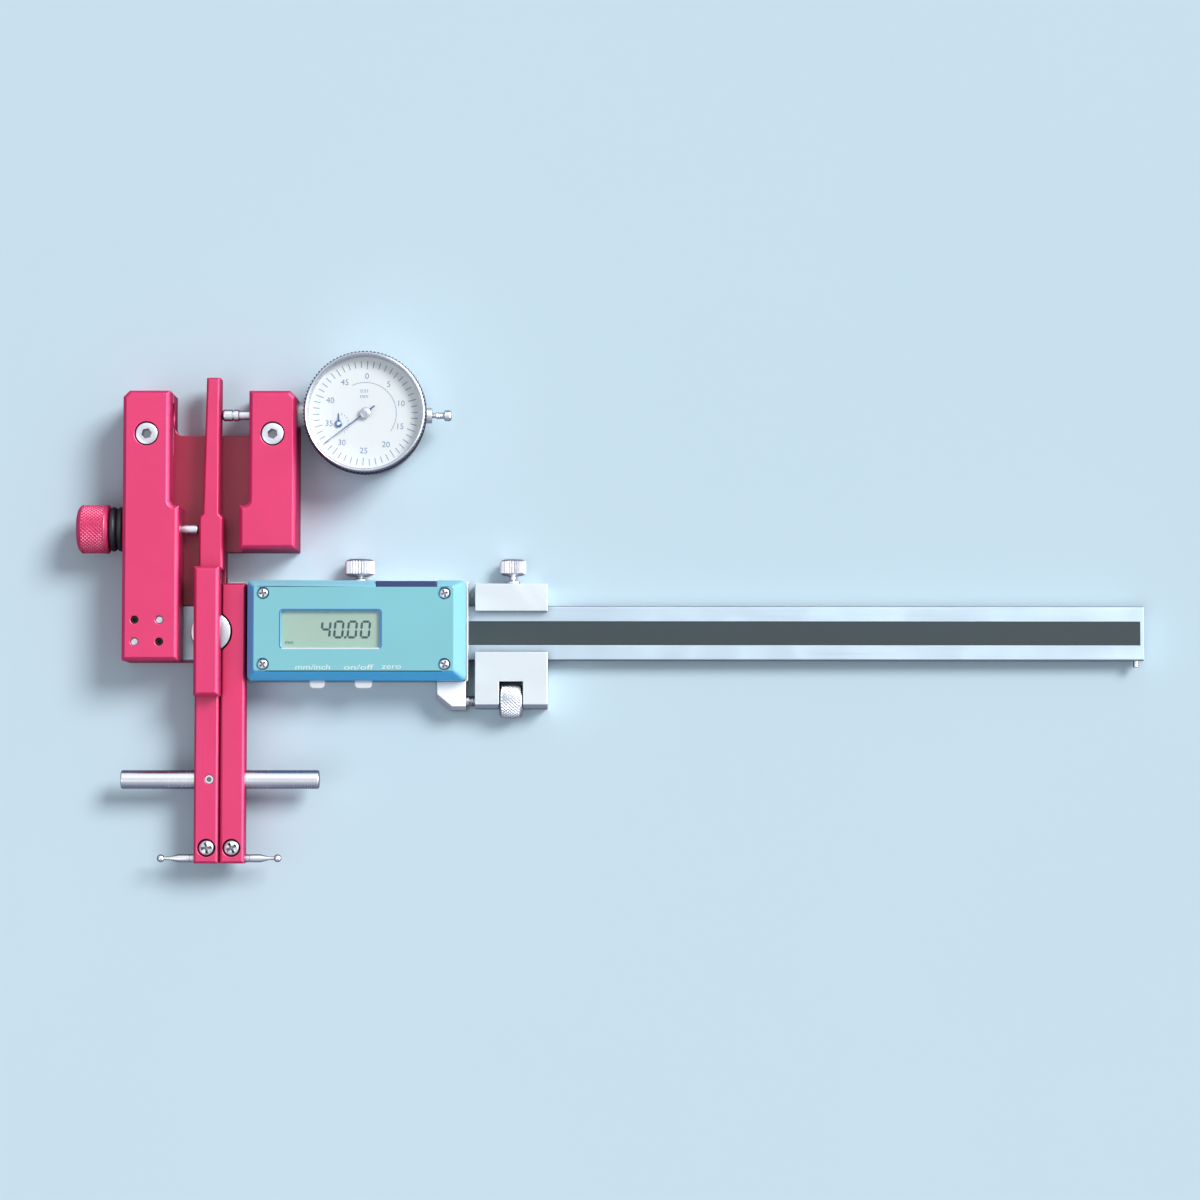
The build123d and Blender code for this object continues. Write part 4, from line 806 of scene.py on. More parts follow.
SCREWS = {                # kind, sizes of head and recess, side it looks out of, turns in degrees, finish
    "stem_clamp_screws": (socket_screw, (4.0, 3.0, 2.2), FRONT, (12.0, 41.0), "faced_steel"),
    "column_screws": (socket_screw, (2.8, 2.5, 1.4), BACK, (5.0, 33.0, 18.0, 50.0), None),
    "rocker_screws": (socket_screw, (2.4, 2.5, 1.2), BACK, (8.0, 27.0, 44.0, 15.0), None),
    "right_arm_screws": (socket_screw, (1.6, 2.0, 0.9), BACK, (20.0, 52.0), None),
    "beam_screws": (set_screw, (1.25, 1.2), FRONT, (14.0, 38.0), None),
    "housing_screws": (cross_screw, (1.0, 1.15, 0.55, 0.75), FRONT, (38.0, 8.0, 62.0, 20.0), "faced_steel"),
    "right_stylus_screw": (cross_screw, STYLUS_SCREW, FRONT, (28.0,), "faced_steel"),
    "left_arm_screws": (left_arm_screw, (), FRONT, (8.0, 0.0), "faced_steel"),
}


def make_screws():
    """One screw for each solid of a node."""
    for node, (make, sizes, facing, turns, finish) in SCREWS.items():
        bm = bmesh.new()
        flip = Matrix.Rotation(0 if facing == FRONT else pi, 4, "X")
        for i, (low, high) in enumerate(solids_of(node)):
            top = high.z if facing == FRONT else low.z
            at = Matrix.Translation(((low.x + high.x) / 2, (low.y + high.y) / 2, top))
            turn = Matrix.Rotation(radians(turns[i % len(turns)]), 4, "Z")
            add_shape(bm, make(half_width(low, high), high.z - low.z, *sizes), at @ flip @ turn)
        stand_for(node, bm, finish)


# ---- turned pieces ----
ROD_EDGE = 0.5
SPIGOT_SHARE = 0.83
BALL_RADIUS = 1.25
BALL_STEPS = 24
STYLUS_NECK = 0.55
STYLUS_NECK_LENGTH = 1.6
STYLUS_SHANK = 5.0
STYLUS_GROOVE = (1.3, 0.35, 0.86)    # from the arm's face, how wide, and the share of the radius left
DOWEL_EDGE = 0.3
STOP_PIN_EDGE = 0.25
HUB_EDGE = 0.45
HUB_MOUTH = 2.02
HUB_BORE = 2.52
HUB_LIP = 0.98


def end_edge(end, radius, inward, edge):
    """A rounded end of a bar: from its axis to its full radius. inward is +1 or -1."""
    corner = arc((0, radius - edge), edge, 90, 0, 3)
    rounded = [(end + inward * (edge - (r - (radius - edge))), x + radius - edge) for x, r in corner]
    return [(end, 0)] + rounded


def plain_bar(start, end, radius, edge):
    """A round bar with both ends rounded, as (along, radius) points."""
    return end_edge(start, radius, 1, edge) + end_edge(end, radius, -1, edge)[::-1]


def bar_in_arm(node, side):
    """A bar's free end and inner end, the face of its arm and its radius. side is +1 for the right."""
    low, high, radius = bar_box(node)
    arm_low, arm_high = node_box("left_arm" if side < 0 else "right_arm")
    if side < 0:
        return low.x, high.x, arm_low.x, radius
    return high.x, low.x, arm_high.x, radius


def make_rod(node, side):
    """The ground rod and the smaller spigot that sits in its arm."""
    free, inner, face, radius = bar_in_arm(node, side)
    spigot = radius * SPIGOT_SHARE
    profile = end_edge(free, radius, -side, ROD_EDGE)
    profile += [(face, radius), (face, spigot), (inner, spigot), (inner, 0)]
    stand_turned(node, "x", profile, 128)


def make_stylus(node, side):
    """A tapered stylus: ball, thin neck, and a shank with a turned groove."""
    tip, inner, face, shank = bar_in_arm(node, side)
    ball = tip - side * BALL_RADIUS
    neck_reach = BALL_RADIUS * cos(asin(STYLUS_NECK / BALL_RADIUS))
    sphere = arc((0, 0), BALL_RADIUS, 0, 180, BALL_STEPS)
    outer = [(ball + side * along, radius) for along, radius in sphere if along > -neck_reach]
    neck_end = ball - side * neck_reach
    groove_at, groove_wide, share = STYLUS_GROOVE
    groove = face + side * groove_at
    groove_end = groove + side * groove_wide
    profile = outer + [
        (neck_end, STYLUS_NECK), (neck_end - side * STYLUS_NECK_LENGTH, STYLUS_NECK),
        (face + side * STYLUS_SHANK, shank), (groove_end, shank), (groove_end, shank * share),
        (groove, shank * share), (groove, shank), (inner, shank), (inner, 0),
    ]
    stand_turned(node, "x", profile, 64)


def make_plain_turnings():
    """The dowels, the beam's stop pin and the pivot's hub."""
    dowels = bmesh.new()
    for low, high in solids_of("beam_dowels"):
        dowel = turned(plain_bar(low.z, high.z, half_width(low, high), DOWEL_EDGE), 48)
        add_shape(dowels, set_along(dowel, "z", (low + high) / 2))
    stand_for("beam_dowels", dowels, "faced_steel")

    low, high = node_box("beam_stop_pin")
    pin = plain_bar(low.y, high.y, half_width(low, high), STOP_PIN_EDGE)
    stand_turned("beam_stop_pin", "y", pin, 48, "turned_steel")

    low, high = node_box("pivot_hub")
    radius = half_width(low, high)
    profile = [(low.z, HUB_BORE), (low.z, radius)]
    middle = HUB_EDGE * 0.3
    profile += from_corner(high.z, radius, [(-HUB_EDGE, 0), (-middle, -middle), (0, -HUB_EDGE)])
    profile += [(high.z, HUB_MOUTH), (high.z - HUB_LIP, HUB_MOUTH), (high.z - HUB_LIP, HUB_BORE)]
    stand_turned("pivot_hub", "z", profile, 128, "faced_steel", closed=True)


# ---- retracting knob ----
KNOB_LENGTH = 10.4
KNOB_RIM = 1.0
KNOB_DOME = 2.2
KNOB_DOME_STEPS = 6
KNOB_NECK = 4.7
KNOB_BORE_FLOOR = 4.2
KNOB_BAND_GAP = 0.35      # from the knurled band to the rim
KNURL_MARGIN = 0.05
KNURL_STEPS = 8           # points in each tooth of a knurl
KNOB_PITCH = 1.25
KNOB_KNURL_DEPTH = 0.5
PIN_RADIUS = 1.55
PIN_PLAY = 0.02
PIN_COLLAR = 1.55
PIN_EDGE = 0.4
SPRING_GAP = 0.05


def make_retract_knob():
    """The diamond-knurled knob."""
    low, high, radius = bar_box("retract_knob")
    left, right = low.x, low.x + KNOB_LENGTH
    bore = PIN_RADIUS + PIN_PLAY
    band_start, band_end = left + KNOB_DOME * 0.8, right - KNOB_RIM - KNOB_BAND_GAP
    turns = [pi / 2 * i / KNOB_DOME_STEPS for i in range(KNOB_DOME_STEPS, 0, -1)]
    rounding = [(left + KNOB_DOME * (1 - sin(t)), radius - KNOB_DOME * (1 - cos(t)) * 1.5) for t in turns]
    profile = [(left, 0), (left, rounding[0][1] * 0.6)] + rounding
    steps = round((band_end - band_start) / KNOB_PITCH * KNURL_STEPS)
    profile += stations(band_start, band_end, steps, radius)
    profile += from_corner(
        right, radius, [(-KNOB_RIM, -0.12), (0.15 - KNOB_RIM, 0), (-0.5, 0), (-0.1, -0.4), (0, -0.9)]
    )
    profile += [(right, KNOB_NECK), (high.x, KNOB_NECK), (high.x, bore)]
    profile += [(left + KNOB_BORE_FLOOR, bore), (left + KNOB_BORE_FLOOR, 0)]
    count = round(2 * pi * radius / KNOB_PITCH)
    knurl = diamond_knurl(count, KNOB_PITCH)
    inside = (band_start + KNURL_MARGIN, band_end - KNURL_MARGIN)
    pattern = (*inside, radius * 0.95, KNOB_KNURL_DEPTH, knurl)
    stand_turned("retract_knob", "x", profile, count * KNURL_STEPS, pattern=pattern)


def make_knob_rings():
    """The two rubber rings behind the knob."""
    rings = bmesh.new()
    for low, high in solids_of("knob_o_rings"):
        section = half_width(low, high)
        outer = (high.z - low.z) / 2
        round_section = circle(((low.x + high.x) / 2, outer - section), section, 24)
        add_shape(rings, set_along(turned(round_section, 96, closed=True), "x", (low + high) / 2))
    stand_for("knob_o_rings", rings)


def make_retract_pin():
    """The pin that the knob pulls, with the collar that its spring bears on."""
    low, high, collar = bar_box("retract_pin")
    start = node_box("pin_spring")[1].x + SPRING_GAP
    profile = [
        (low.x, 0), (low.x, PIN_RADIUS), (start, PIN_RADIUS), (start, collar),
        (start + PIN_COLLAR, collar), (start + PIN_COLLAR, PIN_RADIUS),
    ]
    profile += end_edge(high.x, PIN_RADIUS, -1, PIN_EDGE)[::-1]
    stand_turned("retract_pin", "x", profile, 64)


def make_pin_spring():
    """The spring behind the pin's collar, given a mesh of its own. The real spring is pressed together as the knob
    is pulled.
    """
    spring = stand_for("pin_spring", merged_copy("pin_spring"))
    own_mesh(spring)


# ---- thumb screws, spindle and adjusting nut ----
THUMB_SCREWS = {          # height of the head, level of the rail's top
    "slider_lock_screw": (5.5, 16.6),
    "carriage_lock_screw": (5.3, 16.0),
}
THUMB_TEETH = 30
THUMB_TOOTH_DEPTH = 0.42
THUMB_BAND = 0.75         # from each end of the head to the teeth
THUMB_SHANK = 1.2
THUMB_NECK = 1.0
THUMB_COLLAR = 2.4
SPINDLE_PITCH = 0.5
SPINDLE_THREAD_DEPTH = 0.22
SPINDLE_SEAT = 3.6        # how far into the lug the spindle's plain end starts
NUT_PITCH = 1.15
NUT_KNURL_DEPTH = 0.42
NUT_EDGE = 0.9
NUT_BULGE = 0.25
NUT_PLAY = 0.04


def make_thumb_screw(node, head_height, rail_top):
    """A shank, a collar on the rail, a thin neck and a toothed head."""
    low, high = node_box(node)
    radius = half_width(low, high)
    knob_low = high.y - head_height
    band_start, band_end = knob_low + THUMB_BAND, high.y - THUMB_BAND
    profile = [
        (low.y, 0), (low.y, THUMB_SHANK), (rail_top, THUMB_SHANK), (rail_top, THUMB_COLLAR),
        (rail_top + 0.7, THUMB_COLLAR), (rail_top + 0.9, THUMB_NECK + 0.5), (rail_top + 1.3, THUMB_NECK),
        (knob_low - 0.4, THUMB_NECK), (knob_low, 1.6),
    ]
    profile += from_corner(knob_low, radius, [(0, -1.4), (0.25, -0.7), (0.7, -0.2)])
    profile += stations(band_start, band_end, 6, radius)
    profile += from_corner(high.y, radius, [(-0.7, -0.2), (-0.25, -0.7), (0, -1.4), (-0.2, -2.0)])
    profile += [(high.y - 0.25, 0)]
    teeth = straight_knurl(THUMB_TEETH)
    pattern = (band_start - 0.02, band_end + 0.02, radius * 0.9, THUMB_TOOTH_DEPTH, teeth)
    stand_turned(node, "y", profile, THUMB_TEETH * KNURL_STEPS, "thumb_steel", pattern=pattern)


def make_spindle():
    """The fine threaded spindle between the slide and the carriage."""
    low, high, radius = bar_box("fine_spindle")
    thread_start, thread_end = node_box("slider_body")[1].x + 0.3, high.x - 0.6
    steps = round((thread_end - thread_start) / SPINDLE_PITCH * 6)
    inner = low.x + SPINDLE_SEAT
    profile = [(inner, 0), (inner, radius), (thread_start - 0.1, radius)]
    profile += stations(thread_start, thread_end, steps, radius)
    profile += from_corner(high.x, radius, [(-0.5, -0.05), (0, -0.5)]) + [(high.x, 0)]
    thread = (thread_start, high.x - 0.62, radius * 0.9, SPINDLE_THREAD_DEPTH, screw_thread(SPINDLE_PITCH))
    stand_turned("fine_spindle", "x", profile, 48, pattern=thread)


def make_adjusting_nut():
    """The barrel-shaped knurled nut in the carriage's slot."""
    low, high, radius = bar_box("adjusting_nut")
    bore = bar_box("fine_spindle")[2] + NUT_PLAY
    start, end = low.x + NUT_EDGE, high.x - NUT_EDGE
    barrel = [
        (x, radius - NUT_BULGE * (2 * (x - start) / (end - start) - 1) ** 2)
        for x, _ in stations(start, end, round((end - start) / NUT_PITCH * KNURL_STEPS), radius)
    ]
    shoulder = [(0, -1.4), (0.3, -0.75), (0.6, -0.45)]
    profile = [(low.x, bore)] + from_corner(low.x, radius, shoulder) + barrel
    profile += from_corner(high.x, radius, [(-step, rise) for step, rise in shoulder[::-1]])
    profile += [(high.x, bore)]
    count = round(2 * pi * radius / NUT_PITCH)
    knurl = diamond_knurl(count, NUT_PITCH)
    pattern = (start - 0.01, end + 0.01, radius * 0.88, NUT_KNURL_DEPTH, knurl)
    stand_turned("adjusting_nut", "x", profile, count * KNURL_STEPS, "knurled_steel", True, pattern)


# ---- display ----
SHELL_EDGE = 0.18
FACE_LOW = Vector((14.38, -12.62, 0))
FACE_HIGH = Vector((78.12, 14.22, 0))
FACE_CORNER = 0.9
WINDOW_LOW = Vector((22.85, -5.35, 0))
WINDOW_HIGH = Vector((54.95, 6.75, 0))
WINDOW_CORNER = 0.8
SCREW_HOLE_RADIUS = 2.05
PAINTED_LINE_WIDTH = 0.4
LABEL_THICKNESS = 0.05
PANE_THICKNESS = 0.3
KEY_FLANGE = 0.8
UNIT_HEIGHT = 0.9
UNIT_WIDTH = 2.6
READING_GAP = 0.01
KEY_WORD_SLANT = 0.12
KEY_ROUND = 1.25
KEY_EDGE = 0.35
DIGIT_HEIGHT = 5.8
DIGIT_WIDTH = 3.3
DIGIT_STROKE = 0.74
DIGIT_GAP = 0.1
DIGIT_SLANT = 0.09
DIGIT_Y = 0.6
READING = [("4", 37.3), ("0", 41.45), ("0", 45.75), ("0", 49.95)]
POINT_X = 43.75
UNIT_AT = (25.6, -3.7)
KEY_WORDS = [("mm/inch", 33.3, 11.0, 1.6), ("on/off", 48.0, 9.4, 1.6), ("zero", 58.4, 6.2, 1.05)]
KEY_WORD_Y = -11.5
SEGMENTS_OF = {"0": "abcdef", "4": "bcfg"}


def rounded_outline(low, high, corner):
    """The points of a rectangle with round corners."""
    inset = Vector((corner, corner, 0))
    (left, foot, _), (right, top, _) = low + inset, high - inset
    centres = [(right, top), (left, top), (left, foot), (right, foot)]
    return [
        point for quarter, centre in enumerate(centres)
        for point in arc(centre, corner, 90 * quarter, 90 * quarter + 90, 6)
    ]


def flat_sheet(outlines, level):
    """One flat sheet. The first outline is its edge and the others are holes."""
    bm = bmesh.new()
    for outline in outlines:
        add_outline(bm, outline, level)
    bmesh.ops.triangle_fill(bm, edges=bm.edges[:], use_beauty=True, normal=(0, 0, 1))
    return bm


def make_face_film():
    """The coloured film on the front of the display, with its window and screw holes."""
    outlines = [
        rounded_outline(FACE_LOW, FACE_HIGH, FACE_CORNER),
        rounded_outline(WINDOW_LOW, WINDOW_HIGH, WINDOW_CORNER),
    ]
    for low, high in solids_of("housing_screws"):
        outlines.append(circle(((low.x + high.x) / 2, (low.y + high.y) / 2), SCREW_HOLE_RADIUS, 48))
    bm = flat_sheet(outlines, node_box("display_housing")[1].z)
    finish_print("face_film", bm, "face_film", thickness=LABEL_THICKNESS)


def make_window():
    """The clear pane, thinner than its solid so that the reading shows behind it."""
    bm = merged_copy("lcd_window")
    low, high = node_box("lcd_window")
    bmesh.ops.translate(bm, vec=(0, 0, -high.z), verts=bm.verts)
    bmesh.ops.scale(bm, vec=(1, 1, PANE_THICKNESS / (high.z - low.z)), verts=bm.verts)
    bmesh.ops.translate(bm, vec=(0, 0, high.z), verts=bm.verts)
    stand_for("lcd_window", bm)


def make_window_trim():
    """Painted shade and highlight round the window: a blue line all round for the shade of its recessed walls, and
    a lighter painted highlight along its foot.
    """
    level = node_box("display_housing")[1].z + LABEL_THICKNESS
    low, high = WINDOW_LOW, WINDOW_HIGH
    wide = Vector((PAINTED_LINE_WIDTH, PAINTED_LINE_WIDTH, 0))
    outer = rounded_outline(low - wide, high + wide, WINDOW_CORNER + PAINTED_LINE_WIDTH)
    inner = rounded_outline(low, high, WINDOW_CORNER)
    finish_print("window_painted_shade", flat_sheet([outer, inner], level), "blue_print")
    # The light foot line is a painted highlight in the white print's finish.
    foot_highlight = bmesh.new()
    foot_at = ((low.x + high.x) / 2, low.y - PAINTED_LINE_WIDTH / 2, level + PRINT_THICKNESS)
    flat_bar(foot_highlight, high.x - low.x - WINDOW_CORNER, PAINTED_LINE_WIDTH, Matrix.Translation(foot_at))
    finish_print("window_foot_painted_highlight", foot_highlight, "white_print")


def segment(bm, at, turned_upright, length):
    """One bar of a digit, pointed at both ends."""
    half = DIGIT_STROKE / 2
    reach = length / 2 - DIGIT_GAP
    points = [
        (-reach, 0), (half - reach, half), (reach - half, half),
        (reach, 0), (reach - half, -half), (half - reach, -half),
    ]
    if turned_upright:
        points = [(y, x) for x, y in points]
    bm.faces.new([bm.verts.new((at[0] + x, at[1] + y, 0)) for x, y in points])


def digit_shape(bm, digit, x):
    """A seven-bar digit with its middle at x on the reading's own line."""
    side = (DIGIT_WIDTH - DIGIT_STROKE) / 2
    rise = (DIGIT_HEIGHT - DIGIT_STROKE) / 2
    bars = {
        "a": ((x, rise), False, 2 * side), "g": ((x, 0), False, 2 * side), "d": ((x, -rise), False, 2 * side),
        "f": ((x - side, rise / 2), True, rise), "b": ((x + side, rise / 2), True, rise),
        "e": ((x - side, -rise / 2), True, rise), "c": ((x + side, -rise / 2), True, rise),
    }
    for name in SEGMENTS_OF[digit]:
        segment(bm, *bars[name])


def make_reading():
    """The reading on the display and its small unit."""
    bm = bmesh.new()
    for digit, x in READING:
        digit_shape(bm, digit, x)
    low = -(DIGIT_HEIGHT - DIGIT_STROKE) / 2
    flat_bar(bm, DIGIT_STROKE, DIGIT_STROKE, Matrix.Translation((POINT_X, low, 0)))
    level = node_box("lcd_module")[1].z + READING_GAP
    lean = Matrix(((1, DIGIT_SLANT, 0, 0), (0, 1, 0, DIGIT_Y), (0, 0, 1, level), (0, 0, 0, 1)))
    bmesh.ops.transform(bm, matrix=lean, verts=bm.verts)
    lettering(bm, "mm", UNIT_HEIGHT, (*UNIT_AT, level), width=UNIT_WIDTH)
    finish_print("display_reading", bm, "liquid_print", slot="lcd_grey")


def make_key_words():
    """The plain words over the keys."""
    bm = bmesh.new()
    level = node_box("display_housing")[1].z + LABEL_THICKNESS
    for word, x, width, height in KEY_WORDS:
        lettering(bm, word, height, (x, KEY_WORD_Y, level), width=width, slant=KEY_WORD_SLANT)
    finish_print("key_words", bm, "white_print")


def make_key(node):
    """A key cap with a round outer end."""
    low, high = node_box(node)
    size = Vector((high.x - low.x - 2 * KEY_FLANGE, high.y - low.y, high.z - low.z))
    bm = bmesh.new()
    place = Matrix.Translation((low + high) / 2) @ Matrix.Diagonal((*size, 1))
    bmesh.ops.create_cube(bm, size=1.0, matrix=place)
    outer = [
        e for e in bm.edges
        if all(abs(v.co.y - low.y) < WELD for v in e.verts) and abs(e.verts[0].co.z - e.verts[1].co.z) > 1
    ]
    break_edges(bm, KEY_ROUND, 5, outer)
    break_edges(bm, KEY_EDGE, 3)
    stand_for(node, bm)


def make_display():
    stand_for("display_housing", broken_copy("display_housing", SHELL_EDGE, join_flats=False))
    make_face_film()
    make_window()
    make_window_trim()
    make_reading()
    make_key_words()
    make_key("units_button")
    make_key("power_button")


# ---- dial ----
BEZEL_TEETH = 100
BEZEL_TOOTH_DEPTH = 0.5
BEZEL_WALL = 1.65            # from the outside of the bezel to the crystal
BEZEL_FLANGE = 16.6
BEZEL_STEP_LEVEL = 18.35
DIAL_SEAM = 0.015
DIAL_TURN = 2.4              # degrees clockwise, as the bezel is set
DIAL_DIVISIONS = 50
NUMBER_STEP = 5
TICK_OUTER = 16.9
TICK_LENGTH = 2.1
LONG_TICK_LENGTH = 2.6
TICK_WIDTH = 0.24
NUMBER_RADIUS = 12.05
NUMBER_HEIGHT = 1.85
# a painted shadow line along the still disc's edge: its radius and its ends in degrees
EDGE_SHADOW_RADIUS = 9.95
EDGE_SHADOW_FROM = -25
EDGE_SHADOW_TO = 125
COUNTER_TICKS = 20
COUNTER_TICK_RADIUS = 3.3
COUNTER_TICK_LENGTH = 0.6
POINTER_TURN = 233.0         # degrees clockwise from the top
DIAL_WORDS = [("0.01", 1.1, 7.2), ("mm", 0.8, 5.4)]   # word, height, place above the middle
DIAL_WORD_X = -0.4
FINE_LINE = 0.16
ARC_STEPS = 60
PRINT_GAP = 0.005
CRYSTAL_SEAT = 0.45
CRYSTAL_RISE = 0.7
CRYSTAL_THICKNESS = 0.5
CRYSTAL_OVERLAP = 0.38
# A blade is its length, tail, width at the base and at the tip, level and thickness.
POINTER_BLADE = (16.3, 3.8, 0.5, 0.16, 20.1, 0.25)
POINTER_HUB = (20.2, 0.45, 0.1)      # level of the top, radius, edge
POINTER_CAP = [(20.0, 0), (20.0, 1.6), (20.35, 1.75), (20.6, 1.6), (20.75, 1.2), (20.8, 0)]
COUNTER_BLADE = (3.2, 0, 0.5, 0.3, 19.05, 0.2)
COUNTER_HUB = [(19.0, 0.25), (19.0, 1.2), (19.3, 1.2), (19.45, 0.95), (19.4, 0.5), (19.4, 0)]
COUNTER_STUD = [(19.38, 0), (19.38, 0.62), (19.5, 0.55), (19.58, 0.3), (19.6, 0)]


def clockwise(degrees_from_top, radius, at):
    """A place on the dial and the turn that points outwards there."""
    turn = Matrix.Rotation(-radians(degrees_from_top), 4, "Z")
    return Matrix.Translation(at) @ turn @ Matrix.Translation((0, radius, 0))


def make_bezel_and_dial():
    """The bezel with its grip teeth, the crystal in it and the ring of the dial that turns with it."""
    dial = joint_place("bezel_turn")
    low, high = node_box("gauge_bezel")
    radius = half_width(low, high)
    bore = radius - BEZEL_WALL
    crystal_low, crystal_high = node_box("gauge_crystal")
    profile = [(low.z, BEZEL_FLANGE), (low.z, radius - 0.6), (low.z + 0.5, radius - 0.1)]
    profile += stations(low.z + 0.9, high.z - 1.5, 4, radius)
    profile += from_corner(
        high.z, radius, [(-1.2, -0.5), (-0.5, -0.55), (-0.15, -0.7), (0, -0.95), (-0.1, -1.2)]
    )
    profile += [
        (crystal_high.z, bore), (crystal_low.z, bore),
        (BEZEL_STEP_LEVEL, bore), (BEZEL_STEP_LEVEL, BEZEL_FLANGE),
    ]
    teeth = straight_knurl(BEZEL_TEETH)
    pattern = (low.z + 0.85, high.z - 1.45, radius * 0.97, BEZEL_TOOTH_DEPTH, teeth)
    stand_turned("gauge_bezel", "z", profile, BEZEL_TEETH * 6, "bezel_plate", True, pattern, dial)

    low, high = node_box("gauge_dial")
    ring_in, ring_out = (node_box("counter_dial")[1].x - dial.x) + DIAL_SEAM, half_width(low, high)
    ring = [(low.z, ring_in), (high.z, ring_in), (high.z, ring_out), (low.z, ring_out)]
    stand_turned("gauge_dial", "z", ring, 192, closed=True, at=dial)

    top = dome(crystal_low.z + CRYSTAL_SEAT, CRYSTAL_RISE, bore + CRYSTAL_OVERLAP)
    under = [(z - CRYSTAL_THICKNESS, r) for z, r in top[::-1]]
    stand_turned("gauge_crystal", "z", top + under, 128, at=dial)


def make_dial_print():
    """Divisions and numbers on the ring that turns, a painted shadow arc along the still disc's edge, and the
    small scale on the still disc.
    """
    dial = joint_place("bezel_turn")
    level = node_box("gauge_dial")[1].z + PRINT_GAP
    at = Vector((dial.x, dial.y, level))
    ring = bmesh.new()
    for i in range(DIAL_DIVISIONS):
        length = TICK_LENGTH if i % NUMBER_STEP else LONG_TICK_LENGTH
        angle = 360 / DIAL_DIVISIONS * i + DIAL_TURN
        flat_bar(ring, TICK_WIDTH, length, clockwise(angle, TICK_OUTER - length / 2, at))
    for i in range(0, DIAL_DIVISIONS, NUMBER_STEP):
        angle = radians(360 / DIAL_DIVISIONS * i + DIAL_TURN)
        place = at + Vector((sin(angle), cos(angle), 0)) * NUMBER_RADIUS
        lettering(ring, str(i), NUMBER_HEIGHT, place, turn=-radians(DIAL_TURN))
    finish_print("dial_divisions", ring, "dial_print", "gauge_bezel_ring", "dial_white")

    still = bmesh.new()
    # A painted shadow line along the edge of the still disc, over the stretch of it that shows.
    sweep = EDGE_SHADOW_TO - EDGE_SHADOW_FROM
    step_length = 2 * pi * EDGE_SHADOW_RADIUS * sweep / 360 / ARC_STEPS
    for i in range(ARC_STEPS):
        angle = EDGE_SHADOW_FROM + sweep * (i + 0.5) / ARC_STEPS
        flat_bar(still, step_length, FINE_LINE, clockwise(angle, EDGE_SHADOW_RADIUS, at))
    counter = joint_place("counter_turn")
    counter_at = Vector((counter.x, counter.y, level))
    for i in range(COUNTER_TICKS):
        place = clockwise(360 / COUNTER_TICKS * i, COUNTER_TICK_RADIUS, counter_at)
        if (place.translation - at).length < EDGE_SHADOW_RADIUS - COUNTER_TICK_LENGTH:
            flat_bar(still, FINE_LINE, COUNTER_TICK_LENGTH, place)
    for word, height, above in DIAL_WORDS:
        lettering(still, word, height, (dial.x + DIAL_WORD_X, dial.y + above, level))
    finish_print("dial_small_print", still, "dial_print", "frame", "dial_white")


def hand_blade(length, tail, base, tip, low, thickness):
    """A tapered blade that points up from the origin."""
    bm = bmesh.new()
    outline = [(-base / 2, -tail), (base / 2, -tail), (tip / 2, length), (-tip / 2, length)]
    bm.faces.new([bm.verts.new((x, y, low)) for x, y in outline])
    thicken(bm, thickness)
    return bm


def make_hand(node, joint, turn, blade, hub, steps, cap_name, cap, cap_steps):
    """A blade on a turned hub, made upright at the origin and set on its joint, and its bright cap."""
    place = joint_place(joint)
    add_shape(blade, set_along(turned(hub, steps), "z", (0, 0, 0)))
    stand = Matrix.Translation((place.x, place.y, 0)) @ Matrix.Rotation(-radians(turn), 4, "Z")
    bmesh.ops.transform(blade, matrix=stand, verts=blade.verts)
    stand_for(node, blade)
    bm = set_along(turned(cap, cap_steps), "z", place)
    finish_piece(cap_name, bm, body_of[node], "bright_steel", "faced_steel")


def make_hands():
    """The large hand and the counter's small one. Hubs and caps are (level, radius) profiles."""
    blade = hand_blade(*POINTER_BLADE)
    hub = plain_bar(node_box("gauge_pointer")[0].z, *POINTER_HUB)
    make_hand("gauge_pointer", "pointer_turn", POINTER_TURN, blade, hub, 32, "pointer_cap", POINTER_CAP, 64)
    blade = hand_blade(*COUNTER_BLADE)
    foot = node_box("counter_hand")[0].z
    hub = [(foot, 0), (foot, 0.25)] + COUNTER_HUB
    make_hand("counter_hand", "counter_turn", 0, blade, hub, 48, "counter_stud", COUNTER_STUD, 32)


# ---- plunger ----
CONTACT_DOME = 1.1
CONTACT_GROOVE = [(3.4, 0), (3.6, -0.25), (3.9, -0.25), (4.1, 0)]
CAP_BORE = 0.77
CAP_STEM = [
    (0, CAP_BORE), (0, 1.0), (0.2, 1.15), (0.7, 0.85), (1.1, 1.15),
    (1.5, 0.85), (1.9, 1.1), (2.2, 0.9), (2.5, 1.0),
]
CAP_BORE_DEPTH = 2.12
PLUNGER_SHOULDER = 6.9       # from the right side of the case inwards
PLUNGER_END = 0.75


